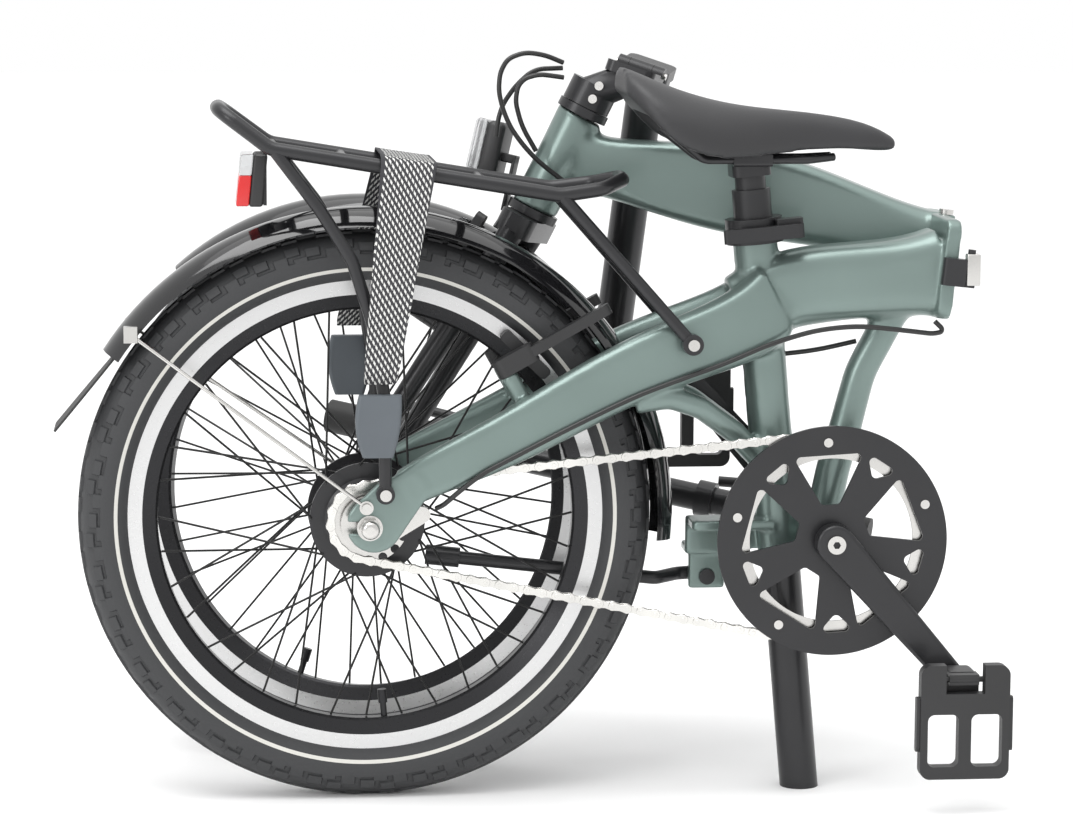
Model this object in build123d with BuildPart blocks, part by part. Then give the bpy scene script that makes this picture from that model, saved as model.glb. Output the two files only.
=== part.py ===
from build123d import *
import os
from math import asin, atan2, cos, pi, radians, sin, tan

# Folding bicycle with 20-inch wheels, modelled folded and standing on both tyres and the seat post.
# Millimetres. X runs forward along the rear half, Y to the rider's left, Z up.
# The origin is on the floor, straight below the rear axle.
# The front half is modelled in its riding place and then folded, steered and turned by the
# functions near the top, so each of its pieces is drawn square and true.

os.makedirs("parts", exist_ok=True)

# ---- wheels
WHEEL_RADIUS = 250.0
TYRE_WIDTH = 47.0
BEAD_RADIUS = 207.0
RIM_WIDTH = 25.0
RIM_INNER_RADIUS = 181.0
SPOKE_COUNT = 36
SPOKE_RADIUS = 1.0
AXLE_RADIUS = 5.0
RUNNING_GAP = 0.05
REAR_DROPOUT_INNER = 67.5
FRONT_DROPOUT_INNER = 50.0
FRONT_AXLE_AT = (978.0, 0.0, 141.2)

# ---- drive
BOTTOM_BRACKET_AT = (404.5, 0.0, 230.0)
CHAIN_LINE = -45.0
CHAIN_PITCH = 12.7
RING_TEETH = 46
SPROCKET_TEETH = 16
CRANK_LENGTH = 160.0
CRANK_ANGLE = -48.6
GUARD_RADIUS = 101.2

# ---- seat
SEAT_LEAN = 5.35
SEAT_FOOT_AT = (386.8, 0.0, 0.0)
SEAT_POST_RADIUS = 16.95
SEAT_POST_LENGTH = 548.0

# ---- main hinge: the pin stands beside the tube, and the front half swings round it
HINGE_LEAN = 6.3
HINGE_PIN_AT = (514.0, 40.0, 464.0)
FOLD_ANGLE = 172.0
FLANGE_HEIGHT = 88.0
FLANGE_THICK = 13.0
HINGE_PIN_RADIUS = 4.0

# ---- steering
STEER_LEAN = 13.7
CROWN_AT = (885.0, 0.0, 401.0)
STEER_ANGLE = -12.0
STEERER_RADIUS = 14.3

# ---- handlepost: it folds down beside the front wheel on a pin that is skewed to the steering axis
POST_SKEW = 5.7
POST_FOLD_ANGLE = 165.0
POST_HINGE_HEIGHT = 176.0
POST_SETBACK = 26.0
POST_PIN_OFFSET = -26.0
POST_LENGTH = 400.0
POST_RADIUS = 17.0
BAR_WIDTH = 534.0
BAR_TURN = 90.0


def along(angle):
    """Unit vector in the XZ plane that leans back from +Z by an angle in degrees."""
    return Vector(-sin(radians(angle)), 0, cos(radians(angle)))


def forward(angle):
    """Unit vector in the XZ plane, square to along(angle) and pointing ahead."""
    return Vector(cos(radians(angle)), 0, sin(radians(angle)))


SEAT_AXIS = Axis(SEAT_FOOT_AT, along(SEAT_LEAN))
FOLD_AXIS = Axis(HINGE_PIN_AT, along(-HINGE_LEAN))
STEER_AXIS = Axis(CROWN_AT, along(STEER_LEAN))
POST_BASE = Vector(CROWN_AT) + along(STEER_LEAN) * POST_HINGE_HEIGHT - Vector(POST_SETBACK, 0, 0)
POST_UP = along(POST_SKEW)
POST_PIN_AT = POST_BASE + Vector(0, POST_PIN_OFFSET, 0)
POST_FOLD_AXIS = Axis(POST_PIN_AT, forward(POST_SKEW))
STEM_AXIS = Axis(POST_BASE, along(STEER_LEAN))
BAR_AT = POST_BASE + along(STEER_LEAN) * POST_LENGTH


def folded(part):
    """Front frame: riding place to folded place."""
    return part.rotate(FOLD_AXIS, FOLD_ANGLE)


def steered(part):
    """Fork group: turned about the head tube, then folded."""
    return folded(part.rotate(STEER_AXIS, STEER_ANGLE))


def post_folded(part):
    """Handlepost group: folded down at its own hinge, then steered and folded."""
    return steered(part.rotate(POST_FOLD_AXIS, POST_FOLD_ANGLE))


def bar_turned(part):
    """Handlebar group: turned in line with the wheels, then carried by the handlepost."""
    return post_folded(part.rotate(STEM_AXIS, BAR_TURN))


def at_rear_axle(part):
    return part.moved(Location((0, 0, WHEEL_RADIUS)))


def at_front_axle(part):
    return steered(part.moved(Location(FRONT_AXLE_AT)))


def save(part, name):
    part.label = name
    export_step(part, f"parts/{name}.step")


def group(parts, name):
    """Several separate solids that share one node, such as a set of bolts."""
    solids = [solid for part in parts for solid in part.solids()]
    save(Compound(children=solids), name)


def bent_tube(points, bend, radius):
    """Round bar along straight runs joined by arcs; bend is one radius or one for each corner."""
    with BuildPart() as tube:
        with BuildLine() as path:
            if len(points) > 2:
                FilletPolyline(*points, radius=bend)
            else:
                Line(*points)
        with BuildSketch(Plane(path.line @ 0, z_dir=path.line % 0)):
            Circle(radius)
        sweep()
    return tube.part


def cable(points, radius):
    """Cable along hand-set points, each corner as round as its two runs allow."""
    spots = [Vector(*p) for p in points]
    bends = []
    for before, here, after in zip(spots, spots[1:], spots[2:]):
        turn = (here - before).get_angle(after - here)
        shorter = min((here - before).length, (after - here).length)
        bends.append(0.45 * shorter / tan(radians(turn) / 2))
    return bent_tube(spots, bends, radius)


def rod(start, end, radius):
    """Straight round bar from one point to another."""
    run = Vector(*end) - Vector(*start)
    with BuildPart() as bar:
        with BuildSketch(Plane(Vector(*start), z_dir=run.normalized())):
            Circle(radius)
        extrude(amount=run.length)
    return bar.part


def ring_of(profile, axis=Axis.Y):
    """Closed profile of (y, r) points turned about the wheel's axle, which lies along Y."""
    with BuildPart() as ring:
        with BuildSketch(Plane.YZ):
            with BuildLine():
                Polyline(*profile, close=True)
            make_face()
        revolve(axis=axis)
    return ring.part


# ======================================================================== wheels
def tyre_part():
    section = TYRE_WIDTH / 2
    bead_half = RIM_WIDTH / 2 - 1.8
    with BuildPart() as tyre:
        with BuildSketch(Plane.YZ):
            with Locations((0, WHEEL_RADIUS - section)):
                Circle(section)
            with Locations((0, BEAD_RADIUS - section)):
                Rectangle(TYRE_WIDTH, TYRE_WIDTH + 0.6, mode=Mode.SUBTRACT)
            with Locations((0, BEAD_RADIUS - 1.5)):
                Rectangle(2 * bead_half, 9)
        revolve(axis=Axis.Y)
    return tyre.part


def rim_part():
    outer, wall, well = RIM_WIDTH / 2, RIM_WIDTH / 2 - 1.4, BEAD_RADIUS - 7.5
    profile = [(-outer, BEAD_RADIUS), (-outer, 194), (-7, 183), (-5, RIM_INNER_RADIUS),
               (5, RIM_INNER_RADIUS), (7, 183), (outer, 194), (outer, BEAD_RADIUS),
               (wall, BEAD_RADIUS), (wall, well), (-wall, well), (-wall, BEAD_RADIUS)]
    return ring_of(profile)


def spoke_set(flange_radius, flange_y, half_flange):
    """Crossed spokes: every hub flange holds half of them, drawn alternately forward and back."""
    spokes = []
    lead = 38
    for i in range(SPOKE_COUNT):
        side = 1 if i % 2 else -1
        sweep_way = 1 if (i // 2) % 2 else -1
        rim_angle = radians(360 / SPOKE_COUNT * i)
        hub_angle = rim_angle + sweep_way * radians(lead)
        hub_y = side * (flange_y + sweep_way * (half_flange + SPOKE_RADIUS + 0.9))
        start = (flange_radius * cos(hub_angle), hub_y, flange_radius * sin(hub_angle))
        reach = RIM_INNER_RADIUS - 0.4
        end = (reach * cos(rim_angle), side * 2.5, reach * sin(rim_angle))
        spokes.append(rod(start, end, SPOKE_RADIUS))
    return spokes


def valve_part():
    """Valve stem with its cap, standing in from the rim."""
    with BuildPart() as valve:
        with BuildSketch(Plane.XY.offset(RIM_INNER_RADIUS - 24)):
            Circle(4)
        extrude(amount=12)
        with BuildSketch(Plane.XY.offset(RIM_INNER_RADIUS - 12)):
            Circle(2.8)
        extrude(amount=11.7)
    return valve.part


REAR_FLANGE_RADIUS, REAR_FLANGE_Y = 50.0, 29.5
FRONT_FLANGE_RADIUS, FRONT_FLANGE_Y = 24.0, 31.0
FLANGE_HALF = 1.6


def hub_part(flange_radius, flange_y, barrel, end_y, end_radius):
    """Hub shell turned about the axle, with a flange each side and a clear bore."""
    bore = AXLE_RADIUS + RUNNING_GAP
    side = [(flange_y - FLANGE_HALF, barrel), (flange_y - FLANGE_HALF, flange_radius),
            (flange_y + FLANGE_HALF, flange_radius), (flange_y + FLANGE_HALF, barrel * 0.86),
            (end_y, end_radius), (end_y, bore)]
    profile = [(-y, r) for y, r in reversed(side)] + side
    return ring_of(profile)


rear_tyre = at_rear_axle(tyre_part())
save(rear_tyre, "rear_tyre")
save(at_front_axle(tyre_part()), "front_tyre")
VALVE_TURN = 175.0
valve = valve_part().rotate(Axis.Y, VALVE_TURN)
group([at_rear_axle(rim_part()), at_rear_axle(valve)], "rear_rim")
group([at_front_axle(rim_part()), at_front_axle(valve)], "front_rim")
save(at_rear_axle(hub_part(REAR_FLANGE_RADIUS, REAR_FLANGE_Y, 43, 40, 19)), "rear_hub_shell")
save(at_front_axle(hub_part(FRONT_FLANGE_RADIUS, FRONT_FLANGE_Y, 15, 41, 13)), "front_hub_shell")
rear_spokes = spoke_set(REAR_FLANGE_RADIUS - 1.5, REAR_FLANGE_Y, FLANGE_HALF)
front_spokes = spoke_set(FRONT_FLANGE_RADIUS - 1.5, FRONT_FLANGE_Y, FLANGE_HALF)
group([at_rear_axle(spoke) for spoke in rear_spokes], "rear_spokes")
group([at_front_axle(spoke) for spoke in front_spokes], "front_spokes")


def axle_part(dropout_inner, hub_end, reach):
    """Fixed axle with a locknut collar against the inside of each dropout."""
    with BuildPart() as axle:
        with BuildSketch(Plane.XZ.offset(-reach)):
            Circle(AXLE_RADIUS)
        extrude(amount=2 * reach)
        for side in (-1, 1):
            collar = dropout_inner - 0.2 - hub_end
            with BuildSketch(Plane.XZ.offset(side * hub_end)):
                Circle(9)
            extrude(amount=side * collar)
    return axle.part


def acorn_nut(inner, height):
    """Domed axle nut on a flat washer, its back face at y = inner, pointing to +Y."""
    with BuildPart() as nut:
        with BuildSketch(Plane.XZ.offset(-inner)):
            Circle(11)
        extrude(amount=-2)
        with BuildSketch(Plane.XZ.offset(-inner - 2)):
            RegularPolygon(9.5, 6)
        extrude(amount=-8)
        with BuildSketch(Plane.XZ.offset(-inner - 10)):
            Circle(8)
        extrude(amount=-(height - 10))
        fillet(nut.edges().filter_by(GeomType.CIRCLE).group_by(Axis.Y)[-1], 4.5)
        with BuildSketch(Plane.XZ.offset(-inner)):
            Circle(AXLE_RADIUS + 0.1)
        extrude(amount=-(height - 4), mode=Mode.SUBTRACT)
    return nut.part


DROPOUT_THICK = 6.0
REAR_NUT_FACE = REAR_DROPOUT_INNER + DROPOUT_THICK + 0.2
FORK_END_THICK = 5.5
FRONT_NUT_FACE = FRONT_DROPOUT_INNER + FORK_END_THICK + 0.2
NUT_HEIGHT = 17.0


def axle_set(dropout_inner, hub_end, nut_face):
    """Axle with a domed nut on each end."""
    nut = acorn_nut(nut_face, NUT_HEIGHT)
    return [axle_part(dropout_inner, hub_end, nut_face + 11), nut, nut.rotate(Axis.Z, 180)]


rear_axle_set = axle_set(REAR_DROPOUT_INNER, 61.0, REAR_NUT_FACE)
front_axle_set = axle_set(FRONT_DROPOUT_INNER, 41.4, FRONT_NUT_FACE)
group([at_rear_axle(piece) for piece in rear_axle_set], "rear_axle")
group([at_front_axle(piece) for piece in front_axle_set], "front_axle")


# ======================================================================== drive
def pitch_radius(teeth):
    return CHAIN_PITCH / (2 * sin(pi / teeth))


def toothed_disc(teeth, thick, inner):
    """Sprocket blank with a tooth for every chain gap, on the XZ plane about the origin."""
    pitch_r = pitch_radius(teeth)
    with BuildPart() as disc:
        with BuildSketch(Plane.XZ.offset(-CHAIN_LINE - thick / 2)):
            Circle(pitch_r + 2.2)
            with PolarLocations(pitch_r, teeth):
                Circle(3.9, mode=Mode.SUBTRACT)
            Circle(inner, mode=Mode.SUBTRACT)
        extrude(amount=thick)
    return disc.part


DRIVER_END = -40.6
driver_bore = AXLE_RADIUS + RUNNING_GAP
with BuildPart() as rear_sprocket:
    add(toothed_disc(SPROCKET_TEETH, 2.2, 14))
    with BuildSketch(Plane.XZ.offset(-DRIVER_END)):
        Circle(17)
        Circle(driver_bore, mode=Mode.SUBTRACT)
    extrude(amount=9.2)
save(at_rear_axle(rear_sprocket.part), "rear_sprocket")

ring_axis = Location(BOTTOM_BRACKET_AT)
chainring_inner = 72.0
chainring = toothed_disc(RING_TEETH, 2.2, chainring_inner).moved(ring_axis)


def guard_window(angle, near_radius, far_radius, near_half, far_half):
    """Outline of one window of the chain guard, centred on an angle."""
    corners = []
    for radius, half in ((near_radius, near_half), (far_radius, far_half)):
        for side in (-1, 1) if radius == near_radius else (1, -1):
            turn = radians(angle) + side * half / radius
            corners.append((radius * cos(turn), radius * sin(turn)))
    return corners


GUARD_ARMS = 5
GUARD_FIRST_ARM = 57.4
GUARD_FACE = 49.0
GUARD_THICK = 3.6
with BuildPart() as chain_guard:
    with BuildSketch(Plane.XZ.offset(GUARD_FACE)):
        Circle(GUARD_RADIUS)
        Circle(10, mode=Mode.SUBTRACT)
        for arm in range(GUARD_ARMS):
            arm_angle = GUARD_FIRST_ARM + 360 / GUARD_ARMS * arm
            with BuildLine():
                Polyline(*guard_window(arm_angle + 36, 33, 82, 8, 32), close=True)
            make_face(mode=Mode.SUBTRACT)
            with BuildLine():
                Polyline(*guard_window(arm_angle, 66, 83, 2, 17), close=True)
            make_face(mode=Mode.SUBTRACT)
    extrude(amount=GUARD_THICK)
    fillet(chain_guard.edges().filter_by(Axis.Y), 4)
    with BuildSketch(Plane.XZ.offset(GUARD_FACE - 2.2)):
        Circle(22)
        Circle(10, mode=Mode.SUBTRACT)
    extrude(amount=2.2)
save(chain_guard.part.moved(ring_axis), "chain_guard")

bolts = []
for arm in range(GUARD_ARMS):
    bolt_angle = radians(GUARD_FIRST_ARM + 360 / GUARD_ARMS * arm + 36)
    spot = (87 * cos(bolt_angle), 0, 87 * sin(bolt_angle))
    with BuildPart() as ring_bolt:
        with BuildSketch(Plane.XZ.offset(GUARD_FACE + GUARD_THICK + 0.05)):
            Circle(4)
        extrude(amount=1.6)
    bolts.append(ring_bolt.part.moved(Location(spot)).moved(ring_axis))
group([chainring] + bolts, "chainring")


def chain_loop(offset, width):
    """Belt-shaped prism round the sprocket and the chainring, at an offset from the pitch line."""
    big = pitch_radius(RING_TEETH) + offset
    small = pitch_radius(SPROCKET_TEETH) + offset
    rear_at = Vector(0, WHEEL_RADIUS)
    ring_at = Vector(BOTTOM_BRACKET_AT[0], BOTTOM_BRACKET_AT[2])
    run = ring_at - rear_at
    open_angle = asin((big - small) / run.length)
    slope = atan2(run.Y, run.X)
    normal_top = slope + pi / 2 + open_angle
    normal_low = slope - pi / 2 - open_angle
    top = [Vector(cos(normal_top), sin(normal_top)) * r for r in (small, big)]
    low = [Vector(cos(normal_low), sin(normal_low)) * r for r in (small, big)]
    back = rear_at - run.normalized() * small
    front = ring_at + run.normalized() * big
    with BuildPart() as belt:
        with BuildSketch(Plane.XZ.offset(-CHAIN_LINE - width / 2)):
            with BuildLine():
                Line(rear_at + top[0], ring_at + top[1])
                ThreePointArc(ring_at + top[1], front, ring_at + low[1])
                Line(ring_at + low[1], rear_at + low[0])
                ThreePointArc(rear_at + low[0], back, rear_at + top[0])
            make_face()
        extrude(amount=width)
    return belt.part


outer_belt = chain_loop(4.2, 7.0)
inner_belt = chain_loop(-4.2, 8.0)
tooth_room = chain_loop(3.0, 3.4)
with BuildPart() as chain:
    add(outer_belt)
    add(inner_belt, mode=Mode.SUBTRACT)
    add(tooth_room, mode=Mode.SUBTRACT)
save(chain.part, "chain")

CRANK_INNER = 56.0
ARM_FACE = 58.0
ARM_THICK = 14.0
PEDAL_FACE = ARM_FACE + ARM_THICK


def crank_part(side):
    """Crank arm on one side: a tapered bar between a wide boss and the pedal eye."""
    angle = radians(CRANK_ANGLE) if side < 0 else radians(CRANK_ANGLE + 180)
    eye = (CRANK_LENGTH * cos(angle), CRANK_LENGTH * sin(angle))
    with BuildPart() as arm:
        with BuildSketch(Plane.XZ.offset(-side * ARM_FACE)):
            Circle(17)
            with Locations(eye):
                Circle(11.5)
            make_hull()
        extrude(amount=-side * ARM_THICK)
        fillet(arm.edges().group_by(Axis.Y)[0 if side < 0 else -1], 3.5)
        with BuildSketch(Plane.XZ.offset(-side * 53.2)):
            Circle(16)
        extrude(amount=-side * 5)
        with BuildSketch(Plane.XZ.offset(-side * CRANK_INNER)):
            Circle(8.55)
        extrude(amount=-side * 9, both=True, mode=Mode.SUBTRACT)
    return arm.part.moved(ring_axis)


save(crank_part(-1), "right_crank")
save(crank_part(1), "left_crank")

with BuildPart() as crank_axle:
    with BuildSketch(Plane.XZ.offset(-64.5)):
        Circle(8.5)
    extrude(amount=129)

crank_bolts = []
for side in (-1, 1):
    with BuildPart() as crank_bolt:
        with BuildSketch(Plane.XZ.offset(-side * (PEDAL_FACE + 0.1))):
            Circle(8)
            RegularPolygon(3.4, 6, mode=Mode.SUBTRACT)
        extrude(amount=-side * 2.6)
    crank_bolts.append(crank_bolt.part.moved(ring_axis))
group([crank_axle.part.moved(ring_axis)] + crank_bolts, "crank_axle")

SHELL_HALF = 34.0
SHELL_RADIUS = 21.0
SHELL_BORE = 17.5
cups = []
for side in (-1, 1):
    with BuildPart() as cup:
        with BuildSketch(Plane.XZ.offset(-side * 12)):
            Circle(SHELL_BORE - 0.05)
        extrude(amount=-side * (SHELL_HALF - 12))
        with BuildSketch(Plane.XZ.offset(-side * (SHELL_HALF + 0.1))):
            Circle(SHELL_RADIUS)
        extrude(amount=-side * 4)
        with BuildSketch(Plane.XZ.offset(-side * 12)):
            Circle(8.5 + RUNNING_GAP)
        extrude(amount=-side * 40, mode=Mode.SUBTRACT)
    cups.append(cup.part.moved(ring_axis))
group(cups, "bottom_bracket_cups")

# ---- folding pedals: a hub block turns on the spindle, and the platform drops beside the crank
PEDAL_HUB_FACE = PEDAL_FACE + 4.0
PEDAL_HUB_LENGTH = 28.0
PLATFORM_LENGTH = 100.0
PLATFORM_WIDTH = 78.0
PLATFORM_THICK = 12.0
PLATFORM_HINGE_Y = PEDAL_HUB_FACE + PEDAL_HUB_LENGTH + 7.0


def pedal_centre(side):
    angle = radians(CRANK_ANGLE) if side < 0 else radians(CRANK_ANGLE + 180)
    return (BOTTOM_BRACKET_AT[0] + CRANK_LENGTH * cos(angle), 0,
            BOTTOM_BRACKET_AT[2] + CRANK_LENGTH * sin(angle))


def pedal_spindle(side):
    with BuildPart() as spindle:
        with BuildSketch(Plane.XZ.offset(-side * (PEDAL_FACE + 0.1))):
            Circle(8)
        extrude(amount=-side * 3.5)
        with BuildSketch(Plane.XZ.offset(-side * PEDAL_FACE)):
            Circle(6)
        extrude(amount=-side * 28)
    return spindle.part.moved(Location(pedal_centre(side)))


def pedal_hub(side):
    """Block on the spindle with two ears that hold the platform's hinge pin."""
    with BuildPart() as hub:
        with BuildSketch(Plane.XZ.offset(-side * PEDAL_HUB_FACE)):
            RectangleRounded(30, 26, 6)
        extrude(amount=-side * PEDAL_HUB_LENGTH)
        with BuildSketch(Plane.YZ):
            with Locations((side * (PLATFORM_HINGE_Y - 4), 8)):
                Rectangle(16, 9)
            with Locations((side * PLATFORM_HINGE_Y, 8)):
                Circle(4.5)
        extrude(amount=13, both=True)
        with BuildSketch(Plane.YZ):
            with Locations((side * PLATFORM_HINGE_Y, 8)):
                Circle(2.55)
        extrude(amount=14, both=True, mode=Mode.SUBTRACT)
        with BuildSketch(Plane.XZ.offset(-side * (PEDAL_HUB_FACE - 1))):
            Circle(6 + RUNNING_GAP)
        extrude(amount=-side * 26, mode=Mode.SUBTRACT)
    return hub.part.moved(Location(pedal_centre(side)))


def pedal_platform(side):
    """Cage platform with two windows, hanging from its hinge pin beside the crank."""
    face = PLATFORM_HINGE_Y - 2
    with BuildPart() as platform:
        with BuildSketch(Plane.XZ.offset(-side * face)):
            with Locations((0, 22 - PLATFORM_LENGTH / 2)):
                RectangleRounded(PLATFORM_WIDTH, PLATFORM_LENGTH, 9)
            with Locations((0, 12)):
                Rectangle(34, 30, mode=Mode.SUBTRACT)
            with Locations((-19, -44), (19, -44)):
                RectangleRounded(27, 46, 6, mode=Mode.SUBTRACT)
        extrude(amount=-side * PLATFORM_THICK)
        with BuildSketch(Plane.YZ):
            with Locations((side * PLATFORM_HINGE_Y, 8)):
                Circle(2.5)
        extrude(amount=20, both=True)
    return platform.part.moved(Location(pedal_centre(side)))


def pedal_reflectors(side):
    """Reflectors let into both long edges of the platform."""
    strips = []
    middle = PLATFORM_HINGE_Y - 2 + PLATFORM_THICK / 2
    for edge in (-1, 1):
        with BuildPart() as strip:
            with BuildSketch(Plane.YZ.offset(edge * (PLATFORM_WIDTH / 2 + 0.1))):
                with Locations((side * middle, -30)):
                    RectangleRounded(PLATFORM_THICK - 3, 48, 3)
            extrude(amount=edge * 3)
        strips.append(strip.part.moved(Location(pedal_centre(side))))
    return strips


group([pedal_spindle(-1), pedal_spindle(1)], "pedal_spindles")
save(pedal_hub(-1), "right_pedal_hub")
save(pedal_hub(1), "left_pedal_hub")
group([pedal_platform(-1)] + pedal_reflectors(-1), "right_pedal_platform")
group([pedal_platform(1)] + pedal_reflectors(1), "left_pedal_platform")


# ======================================================================== rear frame
def lofted_bar(sections):
    """Tapering bar through rounded sections: (centre, direction, width, height, corner)."""
    with BuildPart() as bar:
        for centre, direction, width, height, corner in sections:
            with BuildSketch(Plane(centre, x_dir=(0, 1, 0), z_dir=direction)):
                RectangleRounded(width, height, corner)
        loft()
    return bar.part


def headings(points):
    """Direction of travel at each point of a chain of points."""
    spots = [Vector(*p) for p in points]
    ends = zip([spots[0]] + spots[:-1], spots[1:] + [spots[-1]])
    return [(after - before).normalized() for before, after in ends]


def tapering(points, sizes):
    """Lofted bar whose sections stand square to the line through the points."""
    return lofted_bar([(p, h, *size) for p, h, size in zip(points, headings(points), sizes)])


def round_plate(spot, inner, thick, radius):
    """Disc lying in the XZ plane whose inner face is at y = inner; thick carries the side's sign."""
    with BuildPart() as plate:
        with BuildSketch(Plane((spot[0], inner, spot[1]), x_dir=(1, 0, 0), z_dir=(0, -1, 0))):
            Circle(radius)
        extrude(amount=-thick)
    return plate.part


BRAKE_DROP = 100.0
BRAKE_BOSS_RADIUS = 5.0
BRAKE_BASE_RADIUS = 8.0
PAD_REACH = 22.0
REAR_BRAKE_Y = 40.0
FRONT_BRAKE_Y = 42.0
REAR_BRAKE_BASE = (135.0, 352.0)
REAR_BRAKE_PIVOT = (121.5, 376.2)
REAR_BRAKE_BOSS = Vector(-0.487, 0, 0.873)
REAR_BRAKE_REACH = Vector(0.873, 0, 0.487)
REAR_PAD_TILT = 16.7
FRONT_BRAKE_BASE = (919.5, 304.2)
FRONT_BRAKE_PIVOT = (940.2, 311.6)
FRONT_BRAKE_BOSS = Vector(0.941, 0, 0.338)
FRONT_BRAKE_REACH = Vector(-0.338, 0, 0.941)
FRONT_PAD_TILT = 8.2

# (x, z) line of each swept arm, its half spread in y, and its width, height and corner
ARM_LINE = [(356, 437, 15), (300, 406, 33), (240, 384, 43), (170, 350, 52), (90, 310, 61), (30, 282, 66)]
ARM_SIZES = [(30, 68, 13), (27, 61, 12), (24, 56, 11), (23, 51, 10), (19, 43, 8), (16, 34, 7)]
BEAM_LINE = [(503, 0, 461), (430, 0, 453), (356, 0, 441), (326, 0, 428)]
BEAM_SIZES = [(62, 77, 20), (55, 67, 18), (48, 66, 18), (42, 58, 16)]
STAY_LINE = [(232, 352, 41), (262, 356, 40), (290, 346, 35), (322, 322, 21), (350, 292, 8)]
DOWN_TUBE_LINE = [(470, 0, 436), (436, 0, 372), (413, 0, 285), (404, 0, 240)]
STAY_RADIUS = 10.0
DOWN_TUBE_RADIUS = 15.0
SEAT_TUBE_RADIUS = 19.5
SEAT_TUBE_FROM = 206.0
SEAT_TUBE_TO = 508.0
POST_BORE = SEAT_POST_RADIUS + 0.07
FLANGE_FROM_Y = -36.0
FLANGE_TO_Y = 30.0
KNUCKLE_RADIUS = 9.0
KNUCKLE_SPLIT = 23.7
RACK_BOLT_AT = (13.0, 280.0)
STAY_BOLT_AT = (-3.0, 268.0)
KICKSTAND_PIVOT = (306.0, 35.0, 185.0)


def hinge_plane(up, out):
    """Plane square to the hinge pin, a distance up it; local x looks forward, y to the left."""
    spot = Vector(HINGE_PIN_AT) + along(-HINGE_LEAN) * up
    return Plane(spot, x_dir=forward(-HINGE_LEAN) * out, z_dir=along(-HINGE_LEAN))


def hinge_flange(way):
    """Flange plate behind (-1) or ahead (+1) of the hinge face."""
    face = Plane((514, 0, 464), x_dir=(0, 1, 0), z_dir=forward(-HINGE_LEAN))
    width = FLANGE_TO_Y - FLANGE_FROM_Y
    with BuildPart() as flange:
        with BuildSketch(face.offset(way * 0.15)):
            with Locations(((FLANGE_FROM_Y + FLANGE_TO_Y) / 2, 0)):
                RectangleRounded(width, FLANGE_HEIGHT, 12)
        extrude(amount=way * FLANGE_THICK)
    return flange.part


def knuckle(way, low, high):
    """Eye round the hinge pin between two heights, with the web that ties it to its flange."""
    with BuildPart() as eye:
        with BuildSketch(hinge_plane(low, 1)):
            Circle(KNUCKLE_RADIUS)
            with Locations((way * (FLANGE_THICK / 2 + 0.15), -9)):
                Rectangle(FLANGE_THICK, 18)
            Circle(HINGE_PIN_RADIUS + RUNNING_GAP, mode=Mode.SUBTRACT)
        extrude(amount=high - low)
    return eye.part


def seat_cylinder(radius, start, end):
    """Round piece about the seat axis between two distances from the floor."""
    with BuildPart() as piece:
        with BuildSketch(Plane(SEAT_AXIS.position + SEAT_AXIS.direction * start,
                               z_dir=SEAT_AXIS.direction)):
            Circle(radius)
        extrude(amount=end - start)
    return piece.part


def brake_stud(base, pivot, boss, y):
    """Raised base with the stud that an arm turns on."""
    start = Vector(base[0], y, base[1])
    top = Vector(pivot[0], y, pivot[1])
    with BuildPart() as stud:
        add(rod(start, top, BRAKE_BASE_RADIUS))
        add(rod(top, top + boss * 14, BRAKE_BOSS_RADIUS))
    return stud.part


def dropout(side):
    """Plate that carries the axle in a slot open to the rear, with the arm's end above it."""
    inner = side * REAR_DROPOUT_INNER
    with BuildPart() as plate:
        with BuildSketch(Plane((0, inner, WHEEL_RADIUS), x_dir=(1, 0, 0), z_dir=(0, -1, 0))):
            with Locations((4, 2)):
                Circle(24)
            with Locations((13, 30)):
                Circle(10)
            with Locations((34, 32)):
                Circle(16)
            make_hull()
            Circle(AXLE_RADIUS + 0.1, mode=Mode.SUBTRACT)
            with Locations((-15, 0)):
                Rectangle(30, 2 * AXLE_RADIUS + 0.2, mode=Mode.SUBTRACT)
        extrude(amount=-side * DROPOUT_THICK)
    return plate.part


def box_between(low, high, corner=0.0):
    """Block between two corners, its upright edges rounded."""
    size = Vector(*high) - Vector(*low)
    middle = (Vector(*high) + Vector(*low)) / 2
    with BuildPart() as block:
        with Locations(middle):
            Box(size.X, size.Y, size.Z)
        if corner:
            fillet(block.edges().filter_by(Axis.Z), corner)
    return block.part


def mirrored_y(points, side):
    return [(x, side * y, z) for x, z, y in points]


rear_frame_parts = [
    tapering(BEAM_LINE, BEAM_SIZES),
    hinge_flange(-1),
    knuckle(-1, -44, -KNUCKLE_SPLIT - 0.3),
    knuckle(-1, KNUCKLE_SPLIT + 0.3, 44),
    seat_cylinder(SEAT_TUBE_RADIUS, SEAT_TUBE_FROM, SEAT_TUBE_TO),
    bent_tube(DOWN_TUBE_LINE, 60, DOWN_TUBE_RADIUS),
    box_between((362, -14, 214), (404, 14, 252), 3),
    box_between((286, -20, 234), (362, 20, 243), 4),
    box_between((284, 14, 208), (340, 46, 216), 4),
    box_between((284, 14, 212), (352, 20, 243)),
    box_between((290, 30, 174), (322, 41, 212)),
]
for side in (-1, 1):
    rear_frame_parts.append(tapering(mirrored_y(ARM_LINE, side), ARM_SIZES))
    rear_frame_parts.append(dropout(side))
    rear_frame_parts.append(bent_tube(mirrored_y(STAY_LINE, side), 28, STAY_RADIUS))
    rear_frame_parts.append(brake_stud(REAR_BRAKE_BASE, REAR_BRAKE_PIVOT, REAR_BRAKE_BOSS,
                                       side * REAR_BRAKE_Y))

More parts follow.
